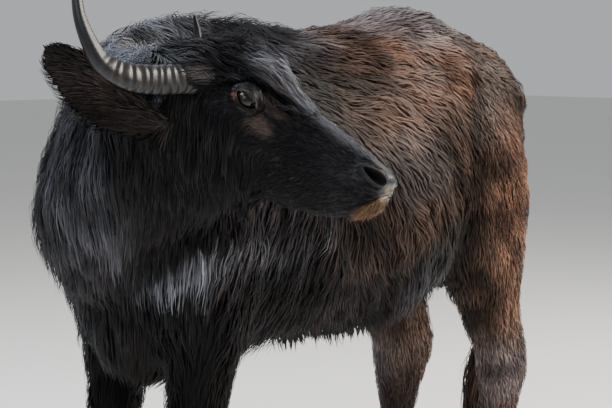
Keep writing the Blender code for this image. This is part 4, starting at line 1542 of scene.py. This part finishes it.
    def shoulder_band(self) -> Array:
        """How far each place is within the grey band that crosses the shoulder, palest in front."""
        x, y, z = self.left.T
        middle = np.interp(y, *BAND_HEIGHT)
        strength = np.interp(y, *BAND_STRENGTH)
        under, over = 1 - ramp(middle - z, 0.014, 0.076), 1 - ramp(z - middle, 0.004, 0.04)
        return strength * under * over * ramp(x, 0.08, 0.14) * (1 - self.head)

    def markings(self) -> Array:
        """How brown, rusty, grey and pale the coat is at each place, a row for each; the grey also holds
        painted sheen and highlights.
        """
        _, y, z = self.body.T
        f, out, u = self.mirror.T
        head, neck = self.head, self.neck
        cloud = drift(self.points, 0.11, 21)[:, 0]
        rear = self.part("trunk", *LEGS[2:], "tail")
        brown = rear * ramp(y, -0.3, -0.02) * ramp(z + 0.1 * cloud, 0.62, 0.98) * 0.85
        brown = np.maximum(brown, rear * ramp(y, 0.22, 0.4) * ramp(z, 0.16, 0.42))
        rust = strongest(BODY_RUST, self.left) * np.clip(0.75 + 0.6 * cloud, 0.2, 1.2)
        rust = rust * (head < 0.5) * (1 - neck)
        band = 0.85 * self.shoulder_band() * (0.8 + 1.1 * drift(self.points, 0.035, 71)[:, 0])
        share = out / np.maximum(forelock_edge(f), 0.01)
        # Painted highlight, given as grey, on the top of the forelock and on its lit tuft.
        forelock_top_highlight = head * ramp(f, 0.1, 0.16) * (1 - ramp(f, 0.28, 0.3)) * ramp(u, -0.02, 0.02)
        tan = head * strongest(FACE_TAN, self.mirror)
        greys_and_sheen = (
            strongest(BODY_GREY_AND_SHEEN, self.left),
            np.clip(band, 0, 1),
            # Painted bluish sheen on the side of the neck and on its upward faces.
            neck * NECK_PAINTED_SHEEN.at(self.body),
            neck * 0.42 * ramp(self.normals[:, 2], 0.3, 0.7),
            forelock_top_highlight * 0.92 * (1 - ramp(share, 0.5, 0.74)),
            forelock_top_highlight * 0.16 * (1 - ramp(share, 0.8, 1.0)),
            head * NOSE_GREY_AND_HIGHLIGHT.at(self.mirror),
            tan * 0.34,
        )
        ears = self.part("left_ear", "right_ear") * (0.12 + 0.25 * cloud)
        brown = np.maximum.reduce([brown, tan, ears, BREAST_BROWN.at(self.left)])
        pale = np.maximum(head * lower_lip(self.h, 0.482, 0.496) * 0.9, tan * 0.16)
        return np.clip([brown, np.maximum(rust, tan * 0.2), np.maximum.reduce(greys_and_sheen), pale], 0, 1)


# ---- the coat
class CoatPiece(Enum):
    """The pieces that the coat is kept in: the regions, the steps of a lock and the clumps' distance."""

    coat_nose = ((Region.MUZZLE, Region.NOSE, Region.LIP), 2, 0.008)
    coat_cheeks = ((Region.CHEEK,), 3, 0.011)
    coat_forelock = ((Region.FOREHEAD, Region.TUFT), 4, 0.013)
    coat_ears = ((Region.EAR,), 3, 0.012)
    coat_neck = ((Region.NECK,), 3, 0.016)
    coat_crest = ((Region.CREST,), 3, 0.018)
    coat_chest = ((Region.CHEST, Region.SHOULDER), 3, 0.02)
    coat_back = ((Region.BACK,), 3, 0.02)
    coat_flanks = ((Region.FLANK,), 3, 0.024)
    coat_belly = ((Region.BELLY,), 4, 0.028)
    coat_thighs = ((Region.THIGH,), 2, 0.018)
    coat_legs = ((Region.FORELEG, Region.SHANK, Region.FOOT), 2, 0.016)
    coat_tail = ((Region.TAIL, Region.SWITCH), 4, 0.016)


@dataclass
class Locks:
    """Locks before they are made solid, one to a row.

    path has the points of each, root first, and ups the skin's normal under each point. uv and chosen
    are the root's place on the skin's map and its triangle. chance is the lock's own random numbers,
    and clump those of its clump.
    """

    path: Array
    ups: Array
    uv: Array
    chosen: Array
    length: Array
    chance: Array
    clump: Array


@dataclass
class Coat:
    """Tapered locks over the whole skin."""

    skin: Skin
    seed: int = 11
    share: float = 1.0
    patch: float = 0.003
    gather: float = 0.5

    def __post_init__(self) -> None:
        """Reads the skin and works out the field on it."""
        mesh = self.skin.obj.data
        mesh.calc_loop_triangles()
        web = Web(mesh)
        normals = web.normals()
        coat = CoatField(web.points, normals, self.skin.labels)
        weights = web.spread(coat.region_weights(), 3)
        self.corners = read(mesh.loop_triangles, "vertices", 3, np.int32)
        loops = read(mesh.loop_triangles, "loops", 3, np.int32)
        self.points = web.points
        self.uv = read(mesh.uv_layers["OFBake"].data, "uv", 2)[loops]
        self.triangle_weights = weights[self.corners].mean(1)
        self.lie = {name: CoatField.blended(self.triangle_weights, name) for name in LIE_FIELDS}
        usual, loose = (CoatField.blended(weights, name) for name in ("depth", "loose"))
        self.lie["depth"] = self.room(web, normals, usual, loose)[self.corners].mean(1)
        self.facing = unit(normals[self.corners].mean(1))
        hang = self.lie["loose"] * ramp(-self.facing[:, 2], 0.0, 0.7)
        room = np.maximum(1.1 * self.lie["depth"], 0.03)
        self.lie["length"] = self.lie["length"] * (1 - hang) + room * hang
        self.flow = unit(coat.fall(weights)[self.corners].mean(1))
        self.marks = coat.markings().T[self.corners].mean(1)
        # Painted light and shade, with broad patches, under each triangle.
        self.light = coat.light().T[self.corners].mean(1)
        a, b, c = (web.points[self.corners[:, k]] for k in range(3))
        self.area = np.linalg.norm(np.cross(b - a, c - a), axis=-1) / 2
        self.tree = BVHTree.FromPolygons(web.points.tolist(), self.corners.tolist())
        self.bald = self.bald_places(web.points[self.corners].mean(1))

    @staticmethod
    def room(web: Web, normals: Array, usual: Array, loose: Array) -> Array:
        """The room between the skin and the outline of the solids.

        Args:
            web: the skin.
            normals: its normals.
            usual: the coat's usual depth at each vertex.
            loose: how far the hair hangs there.

        Returns:
            The depth that the coat has at each vertex.
        """
        tree, _ = flesh_tree()
        depth = usual.copy()
        for i, (point, normal) in enumerate(zip(web.points.tolist(), normals.tolist())):
            hit = tree.ray_cast(point, normal, 0.11)
            if hit[0] is not None and hit[1].dot(Vector(normal)) > 0.2:
                depth[i] = hit[3]
        depth = np.clip(depth, 0.25 * usual, usual * 1.6 + 0.08 * loose)
        return web.spread(depth[:, None], 3)[:, 0]

    @staticmethod
    def bald_places(centres: Array) -> Array:
        """Where nothing grows: inside lids and nostrils, and under the hooves."""
        mirror = folded(in_head(centres), 1)
        eye = oval(mirror, EYE_MIDDLE, (0.0225, 0.04, 0.0168)) < 1
        return eye | (oval(mirror, NOSTRIL_MIDDLE, (0.0262, 0.04, 0.0128)) < 1) | (centres[:, 2] < 0.062)

    def roots(self, piece: CoatPiece, rng: np.random.Generator) -> Tuple[Array, Array]:
        """Scatters the roots of one piece's locks.

        Args:
            piece: the piece of the coat.
            rng: the source of chance.

        Returns:
            The triangle of each root, and its three shares in the triangle's corners.
        """
        regions = [region.column for region in piece.value[0]]
        mine = np.isin(self.triangle_weights.argmax(-1), regions) & ~self.bald
        wanted = np.where(mine, self.area * self.lie["per_m2"] * self.share, 0.0)
        number = np.floor(wanted + rng.random(len(wanted))).astype(int)
        chosen = np.repeat(np.arange(len(number)), number)
        one, other = rng.random(len(chosen)), rng.random(len(chosen))
        root = np.sqrt(one)
        return chosen, np.stack([1 - root, root * (1 - other), root * other], -1)

    def grow(self, piece: CoatPiece) -> Object:
        """Grows one piece of the coat and returns it."""
        _, steps, cell = piece.value
        rng = np.random.default_rng(self.seed + len(piece.name) * 31 + steps)
        chosen, shares = self.roots(piece, rng)
        root = (self.points[self.corners[chosen]] * shares[..., None]).sum(1)
        uv = (self.uv[chosen] * shares[..., None]).sum(1)
        count = len(chosen)
        chance = rng.random((count, 6))
        stretch = np.array((1.0, 0.5, 1.0) if piece is CoatPiece.coat_back else (1.0, 1.0, 0.5))
        centre, clump = clump_centres(root * stretch, cell, 5)
        wide_centre, wide = clump_centres(root * stretch, cell * 1.8, 8)
        bundle = np.clip(np.linalg.norm(wide_centre - root * stretch, axis=-1) / (cell * 1.1), 0, 1)
        to_centre = centre / stretch - root
        length = self.lie["length"][chosen] * (0.62 + 0.55 * chance[:, 0]) * (0.8 + 0.4 * wide[:, 0])
        level = 0.98 - 0.55 * bundle**2 + 0.45 * (chance[:, 1] - 0.6) + 0.25 * (wide[:, 1] - 0.5)
        level = np.clip(level, 0.12, 1.15)
        lift = self.lie["lift"][chosen] * (0.5 + chance[:, 2])
        wave = self.lie["wave"][chosen]
        step = (length / steps)[:, None]
        tri, point = chosen, root.copy()
        path, ups = [point], [self.facing[tri]]
        down = np.array([0.0, 0.0, -1.0])
        tilt = (rng.random((count, 3)) - 0.5) * 0.14
        for k in range(1, steps + 1):
            t = k / steps
            normal = self.facing[tri]
            loose = (self.lie["loose"][tri] * ramp(-normal[:, 2], -0.35, 0.6))[:, None]
            way = unit(self.flow[tri] * (1 - loose) + down * loose + tilt)
            swing = drift(point, 0.036, 41)[:, :1] + 0.35 * drift(point, 0.018, 42)[:, :1]
            swing = swing + 0.3 * (chance[:, 3:4] - 0.5)
            way = way + np.cross(way, normal) * swing * (wave / 0.006)[:, None]
            way = unit(way) + normal * (lift * (1.0 - t) * 1.2)[:, None]
            point = point + unit(way) * step
            pull = self.gather * (t**1.3 - ((k - 1) / steps) ** 1.3)
            point = point + (to_centre - self.flow[tri] * dots(to_centre, self.flow[tri])) * pull
            point, tri = self.settle(point, tri, level * self.rise(t))
            path.append(point)
            ups.append(self.facing[tri])
        # From here the clump's second number holds the lock's height in the coat, which the hair's colour turns
        # into painted shade.
        clump[:, 1] = np.clip(level, 0, 1)
        locks = Locks(np.stack(path, 1), np.stack(ups, 1), uv, chosen, length, chance, clump)
        return self.solid(piece.name, locks)

    def lashes(self, name: str, count: int = 46) -> Object:
        """Grows the lashes on the upper lids.

        Args:
            name: the name of the piece.
            count: how many there are on one eye.

        Returns:
            The lashes of both eyes as one object.
        """
        rng = np.random.default_rng(self.seed)
        paths, ups = [], []
        for side, _ in SIDES:
            lid = EyeOpening(side)
            middle, across, rise, out = lid.axes()
            for k in range(count):
                angle = math.pi * (0.1 + 0.8 * (k + 0.6 * rng.random()) / count)
                x, y, lift = lid.ring(lid.profile[5], angle)[1]
                spread = across * (0.55 * math.cos(angle)) + out + rise * 0.1
                long = 0.011 + 0.006 * math.sin(angle) + 0.003 * rng.random()
                root = middle + across * x + rise * y + out * (lift - 0.0005)
                droop = rise * long * 0.75
                steps = [root + unit(spread) * long * t - droop * t**2 for t in (0.0, 0.33, 0.67, 1.0)]
                paths.append([from_head(point) for point in steps])
                ups.append([TURN @ unit(rise + 0.3 * out)] * 4)
        chance = rng.random((len(paths), 6)) * np.array((1.0, 1.0, 1.0, 1.0, 1.0, 0.2))
        return self.laid(name, paths, ups, chance, np.full((len(paths), 2), 0.3))

    def drape(self, name: str, count: int = 420) -> Object:
        """Lays locks of the forelock over the roots of the horns, furthest out along the upper edge.

        Args:
            name: the name of the piece.
            count: how many there are on one horn.

        Returns:
            The locks on both horns as one object.
        """
        rng = np.random.default_rng(self.seed + 5)
        paths, ups = [], []
        for side, _ in SIDES:
            horn = Horn(side)
            run = horn.line()
            for _ in range(count):
                chance = rng.random(5)
                angle = math.pi * (0.02 + 1.3 * chance[0])
                reach = 0.074 + 0.048 * float(ramp(np.array(angle), 0.3, 2.4)) - 0.03 * chance[1] ** 2
                start = 0.016 + 0.02 * chance[2]
                lock = []
                for k in range(5):
                    t = k / 4
                    turned = angle + 0.42 * (1 - t) - 0.25 + 0.1 * math.sin(5 * t + 6 * chance[4])
                    off = (0.015 - 0.013 * t) * (0.35 + 0.85 * chance[3])
                    lock.append(horn.surface(run, start + (reach - start) * t, turned, off))
                paths.append([from_head(place) for place, _ in lock])
                ups.append([TURN @ out for _, out in lock])
        chance = rng.random((len(paths), 6))
        return self.laid(name, paths, ups, chance, np.stack([chance[:, 0], 0.3 + 0.5 * chance[:, 1]], -1))

    def laid(self, name: str, paths: List, ups: List, chance: Array, clump: Array) -> Object:
        """Makes locks from paths that are already in place.

        Args:
            name: the name of the piece.
            paths: the points of each lock, root first.
            ups: the way up at each point.
            chance: random numbers for each lock.
            clump: the numbers that stand in for those of a clump.

        Returns:
            The object.
        """
        path = np.array(paths)
        chosen = np.array([self.tree.find_nearest(point)[2] for point in path[:, 0].tolist()])
        length = np.linalg.norm(path[:, -1] - path[:, 0], axis=-1)
        uv = self.uv[chosen].mean(1)
        return self.solid(name, Locks(path, np.array(ups), uv, chosen, length, chance, clump))

    @staticmethod
    def rise(t: float) -> float:
        """How much of its height a lock has at a share of its length, the tip tucked down a little."""
        return float(ramp(np.array(t), -0.1, 0.65) - 0.22 * ramp(np.array(t), 0.72, 1.0))

    def settle(self, point: Array, tri: Array, level: Array) -> Tuple[Array, Array]:
        """Keeps the locks outside the skin and draws them to their height over it.

        Args:
            point: where each lock has got to.
            tri: the triangle that each one was last over.
            level: its height as a share of the coat's depth.

        Returns:
            The corrected places and the triangles under them.
        """
        found = [self.tree.find_nearest(p) for p in point.tolist()]
        near, tri = np.array([f[0] for f in found]), np.array([f[2] for f in found])
        normal = self.facing[tri]
        gap = dots(point - near, normal)[:, 0]
        target = self.lie["depth"][tri] * level
        cling = self.lie["cling"][tri] * ramp(normal[:, 2], -0.9, 0.1)
        wanted = np.where(gap < target, target, target + (gap - target) * (1 - cling))
        return point + normal * (wanted - gap)[:, None], tri

    def solid(self, name: str, locks: Locks) -> Object:
        """Makes the closed locks along their paths: three-sided, with a closed root and a pointed tip."""
        path, ups, chance = locks.path, locks.ups, locks.chance
        count, steps = len(path), path.shape[1] - 1
        ahead = np.empty_like(path)
        ahead[:, 1:-1] = path[:, 2:] - path[:, :-2]
        ahead[:, 0], ahead[:, -1] = path[:, 1] - path[:, 0], path[:, -1] - path[:, -2]
        ahead = unit(ahead)
        side = unit(np.cross(ahead, ups))
        up = np.cross(side, ahead)
        turn = ((chance[:, 4] - 0.5) * 0.7)[:, None, None]
        side, up = side * np.cos(turn) + up * np.sin(turn), up * np.cos(turn) - side * np.sin(turn)
        t = np.arange(steps) / steps
        profile = (0.75 + 0.8 * t) * (1 - t**2.6)
        width = (self.lie["width"][locks.chosen] * (0.7 + 0.6 * chance[:, 5]))[:, None] * profile[None, :]
        if self.share < 0.99:
            width = width / math.sqrt(self.share)
        w = width[..., None]
        core, s, n = path[:, :-1], side[:, :-1], up[:, :-1]
        ring = np.stack([core - s * w * 0.5, core + n * w * 0.17, core + s * w * 0.5], 2)
        per = steps * 3 + 1
        vertices = np.concatenate([ring.reshape(count, -1, 3), path[:, -1:]], 1).reshape(-1, 3)
        start = (np.arange(count) * per)[:, None, None]
        tip = steps * 3
        a, b, c = tip - 3, tip - 2, tip - 1
        tris = np.array([[0, 1, 2], [b, a, tip], [c, b, tip], [a, c, tip]])
        turns = [(k * 3 + i, k * 3 + (i + 1) % 3) for k in range(steps - 1) for i in range(3)]
        quads = np.array([[j, i, i + 3, j + 3] for i, j in turns], int).reshape(-1, 4)
        mesh = mesh_of(name, vertices, (start + tris).reshape(-1, 3), (start + quads).reshape(-1, 4))
        across = np.append(np.tile([0.0, 0.5, 1.0], steps), 0.5)
        self.store(mesh, locks, np.append(np.repeat(t, 3), 1.0), across)
        facing = np.concatenate([np.repeat(ups[:, :-1], 3, axis=1), ups[:, -1:]], 1)
        write(mesh.attributes.new("facing", "FLOAT_VECTOR", "POINT").data, "vector", facing)
        return add_object(name, mesh)

    def store(self, mesh: Mesh, locks: Locks, along: Array, across: Array) -> None:
        """Stores each lock's maps, markings and chances on the mesh, with its height for painted shade and the
        painted light and shade under it.

        Args:
            mesh: the locks' mesh.
            locks: the locks.
            along: how far along its lock each vertex of one lock lies.
            across: how far across its lock it lies.
        """
        count, per = len(locks.path), len(along)
        loops = read(mesh.loops, "vertex_index", 1, np.int32)
        lock, row = loops // per, loops % per
        add_map(mesh, "OFBake", locks.uv[lock] + self.patch * (np.stack([across[row], along[row]], -1) - 0.5))
        add_map(mesh, "Strand", np.stack([across[row], along[row] * locks.length[lock] / 0.03], -1))
        mesh.uv_layers.active = mesh.uv_layers["OFBake"]
        chance, clump = locks.chance, locks.clump
        marks = self.marks[locks.chosen] + (chance[:, :1] - 0.5) * np.array([[0.25, 0.15, 0.1, 0.0]])
        marks[:, 3] *= ramp(chance[:, 3], 0.15, 0.55)
        marks = np.clip(marks * (0.7 + 0.6 * clump[:, :1]), 0, 1)
        paint(mesh, "markings", *np.repeat(marks, per, 0).T)
        # The third number of strand is the lock's height in the coat, for painted shade; light carries the
        # painted light and shade and broad patches.
        own, height_shade = np.repeat(chance[:, 3], per), np.repeat(clump[:, 1], per)
        paint(mesh, "strand", own, np.tile(along, count), height_shade, 1.0)
        paint(mesh, "light", *np.repeat(self.light[locks.chosen], per, 0).T, 0.0, 1.0)


# ---- horns
@dataclass
class Horn:
    """One horn: out and back from the poll, then up, flattened, and ringed near its root."""

    side: int
    around: int = 40
    steps: int = 22
    face: Triple = (0.8, 0.1, 0.6)
    ring_depth: float = 0.0015
    ring_gap: float = 0.0165
    crown: float = 0.72
    swing: Triple = (0.03, 0.0, 0.01)
    stations: Rows = (
        (0.132, 0.046, -0.012, 0.014, 0.011),
        (0.11, 0.089, -0.025, 0.024, 0.019),
        (0.09, 0.13, -0.038, 0.0265, 0.0205),
        (0.065, 0.179, -0.062, 0.0258, 0.02),
        (0.036, 0.225, -0.078, 0.0235, 0.0182),
        (0.0, 0.26, -0.078, 0.02, 0.016),
        (-0.035, 0.278, -0.058, 0.0158, 0.0133),
        (-0.073, 0.286, -0.028, 0.0117, 0.0102),
        (-0.11, 0.281, 0.011, 0.0084, 0.0076),
        (-0.138, 0.268, 0.039, 0.003, 0.003),
    )

    def line(self) -> Tuple[Array, Array, Array]:
        """The horn's rows, the way it runs at each, and how far along each lies."""
        rows = smooth_rows(self.stations, self.steps)
        if self.side > 0:
            rows[:, :3] += np.array(self.swing) * (np.linspace(0, 1, len(rows)) ** 1.5)[:, None]
        ahead = unit(np.gradient(rows[:, :3], axis=0))
        reach = np.concatenate([[0.0], np.cumsum(np.linalg.norm(np.diff(rows[:, :3], axis=0), axis=-1))])
        return rows, ahead, reach

    def surface(self, run: Tuple[Array, ...], far: float, angle: float, off: float) -> Tuple[Array, Array]:
        """A place over the horn in head measures, and the way out of the horn there.

        Args:
            run: the horn's line.
            far: how far along the horn it is.
            angle: how far round, from the lower edge over the front.
            off: how high over the horn.

        Returns:
            The place and the direction.
        """
        rows, ahead, reach = run
        at = np.array([np.interp(far, reach, column) for column in rows.T])
        way = unit(np.array([np.interp(far, reach, column) for column in ahead.T]))
        front = across_from(np.array(self.face), way)
        edge = np.cross(way, front)
        out = unit(edge * math.cos(angle) / at[3] + front * math.sin(angle) / at[4])
        place = at[:3] + edge * math.cos(angle) * at[3] + front * math.sin(angle) * at[4] + out * off
        return mirrored(place, self.side), mirrored(out, self.side)

    def build(self, finish: Material) -> Object:
        """Builds the horn and returns it."""
        rows, ahead, reach = self.line()
        angle = 2 * math.pi * np.arange(self.around) / self.around
        cosine, sine = np.cos(angle), np.sin(angle)
        upper = ramp(sine, -0.45, 0.35)
        rings, marks = [], []
        for (f, l, u, half_width, half_thick), way, far in zip(rows, ahead, reach):
            front = across_from(np.array(self.face), way)
            edge = np.cross(way, front)
            power = np.where(sine >= 0, 2.6, 1.8)
            height = np.where(sine >= 0, half_thick, half_thick * 1.15)
            x = half_width * np.sign(cosine) * np.abs(cosine) ** (2 / power)
            y = height * np.sign(sine) * np.abs(sine) ** (2 / power)
            share = far / reach[-1]
            strength = ramp(np.array(far), 0.03, 0.07) * (1 - ramp(np.array(share), 0.42, 0.66))
            warp = 0.0022 * np.sin(angle * 2 + far * 60) + 0.0016 * np.sin(far * 210)
            cycle = ((far + warp) / self.ring_gap) % 1.0
            crown = np.sin(np.pi * np.clip(cycle / self.crown, 0, 1)) ** 0.7
            valley = -0.35 * np.sin(np.pi * (cycle - self.crown) / (1 - self.crown))
            ridge = np.where(cycle < self.crown, crown, valley)
            size = 1 + self.ring_depth * ridge * strength * (0.25 + 0.75 * upper) / max(half_thick, 1e-3)
            rings.append(np.array([f, l, u]) + np.outer(x * size, edge) + np.outer(y * size, front))
            furrow = ramp(cycle, 0.62, 0.78) * (1 - ramp(cycle, 0.92, 1.0)) * upper
            even = np.ones(self.around)
            marks.append(np.stack([share * even, furrow, 1 - upper, strength * even], -1))
        rings = np.array(rings)
        rings[..., 1] *= self.side
        made = loft(("left" if self.side > 0 else "right") + "_horn_shell", from_head(rings))
        paint(made.data, "horn", *np.concatenate([*marks, [marks[0].mean(0)], [marks[-1].mean(0)]]).T)
        loops = read(made.data.loops, "vertex_index", 1, np.int32)
        row, column = np.minimum(loops // self.around, len(rows) - 1), loops % self.around
        add_map(made.data, "Sleeve", np.stack([np.abs(column / self.around * 2 - 1), reach[row] * 10], -1))
        made.data.materials.append(finish)
        return made


# ---- eyes
@dataclass
class Eye:
    """An eyeball with a raised clear front."""

    side: int
    segments: int = 56
    rings: int = 36
    look: Triple = (0.36, 0.92, 0.04)
    top: Triple = (0.15, 0.0, 1.0)
    bulge: float = 0.0014

    def build(self, finish: Material) -> Object:
        """Builds the eye and returns it."""
        bpy.ops.object.select_all(action="DESELECT")
        middle = np.array(Vector(from_head(mirrored(EYE_MIDDLE, self.side))))
        bpy.ops.mesh.primitive_uv_sphere_add(segments=self.segments, ring_count=self.rings, radius=EYE_RADIUS)
        made = bpy.context.active_object
        made.name = made.data.name = ("left" if self.side > 0 else "right") + "_eyeball"
        gaze = TURN @ unit(mirrored(self.look, self.side))
        rise = across_from(TURN @ np.array(self.top), gaze)
        across = np.cross(rise, gaze)
        local = read(made.data.vertices, "co", 3).astype(float)
        radius = np.arccos(np.clip(local[:, 2] / EYE_RADIUS, -1, 1))
        push = 1 + self.bulge / EYE_RADIUS * (1 - ramp(radius, 0.35, 0.75))
        local = local * push[:, None]
        x, y = local[:, 0] / EYE_RADIUS, local[:, 1] / EYE_RADIUS
        pupil = np.sqrt((x * 0.62) ** 2 + (y * 1.25) ** 2)
        world = middle + local[:, :1] * across + local[:, 1:2] * rise + local[:, 2:] * gaze
        write(made.data.vertices, "co", world)
        made.data.update()
        paint(made.data, "gaze", pupil, y, radius, 1.0)
        edit(made, bpy.ops.mesh.normals_make_consistent, inside=False)
        bpy.ops.object.shade_smooth()
        made.data.materials.append(finish)
        return made


# ---- studio
@dataclass
class Studio:
    """Floor, lights and camera."""

    floor_size: float = 60.0
    camera_place: Triple = (2.6419, -2.4751, 1.28)
    camera_view: Triple = (-0.7373, 0.6756, 0.0)
    camera_drop: float = 6.083
    lens: float = 85.0
    aim: Triple = (0.0, -0.1, 0.9)
    sky: Tuple[float, ...] = (0.9, 0.93, 0.96, 1.0)
    sky_strength: float = 0.52

    def build(self) -> None:
        """Sets up everything that is not the animal."""
        bpy.ops.object.select_all(action="DESELECT")
        bpy.ops.mesh.primitive_plane_add(size=self.floor_size)
        floor = bpy.context.active_object
        floor.name = "floor"
        floor.data.materials.append(FloorFinish().material())
        self.light("key", (3.2, 2.9, 3.3), 1.8, 360.0, (1.0, 0.92, 0.82))
        self.light("rim", (1.0, 3.6, 3.2), 1.6, 150.0, (1.0, 0.9, 0.78))
        self.light("top", (-1.6, -1.4, 4.0), 2.4, 240.0, (0.82, 0.91, 1.0))
        self.light("front", (1.4, -4.0, 3.4), 2.6, 50.0, (0.86, 0.92, 1.0))
        world = bpy.data.worlds.new("studio")
        world.use_nodes = True
        background = world.node_tree.nodes["Background"].inputs
        background[0].default_value, background[1].default_value = self.sky, self.sky_strength
        bpy.context.scene.world = world
        self.camera()

    def light(self, name: str, place: Triple, size: float, power: float, tint: Triple) -> None:
        """Adds one soft light aimed at the animal's middle."""
        data = bpy.data.lights.new(name, "AREA")
        data.shape, data.size, data.energy, data.color = "DISK", size, power, tint
        made = add_object(name, data)
        made.location = place
        made.rotation_euler = (Vector(place) - Vector(self.aim)).to_track_quat("Z", "Y").to_euler()

    def camera(self) -> None:
        """Adds the camera."""
        data = bpy.data.cameras.new("camera")
        data.lens, data.sensor_width = self.lens, 36.0
        made = add_object("camera", data)
        drop = math.radians(self.camera_drop)
        ahead = Vector(self.camera_view).normalized() * math.cos(drop) - UP * math.sin(drop)
        made.location = Vector(self.camera_place) + Vector(SHIFT)
        made.rotation_euler = ahead.to_track_quat("-Z", "Y").to_euler()
        bpy.context.scene.camera = made


# ---- the whole animal
def ready(piece: Object, replaced: Sequence[str]) -> None:
    """Joins a piece to the body, hides the nodes it stands for, and reports it."""
    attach(piece, BODY)
    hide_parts(*replaced)
    LOG.info("%s: %d faces", piece.name, len(piece.data.polygons))


def main() -> None:
    """Builds the animal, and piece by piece."""
    logging.basicConfig(level=logging.INFO, format="%(message)s")
    Studio().build()
    skin = Skin()
    ready(skin.build(), FLESH)
    coat = Coat(skin, share=1.0)
    hair = HairFinish().material()
    for piece in CoatPiece:
        grown = coat.grow(piece)
        grown.data.materials.append(hair)
        ready(grown, FLESH)
    for extra in (coat.lashes("lashes"), coat.drape("horn_fringe")):
        extra.data.materials.append(hair)
        ready(extra, FLESH)
    horn_finish = HornFinish().material()
    eye_finish = EyeFinish().material()
    for side, word in SIDES:
        ready(Horn(side).build(horn_finish), (word + "_horn",))
        ready(Eye(side).build(eye_finish), (word + "_eye",))
    hoof_finish = HoofFinish().material()
    for name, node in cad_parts.items():
        if name.endswith("claw"):
            node.data.materials.clear()
            node.data.materials.append(hoof_finish)


if __name__ == "__main__":
    main()
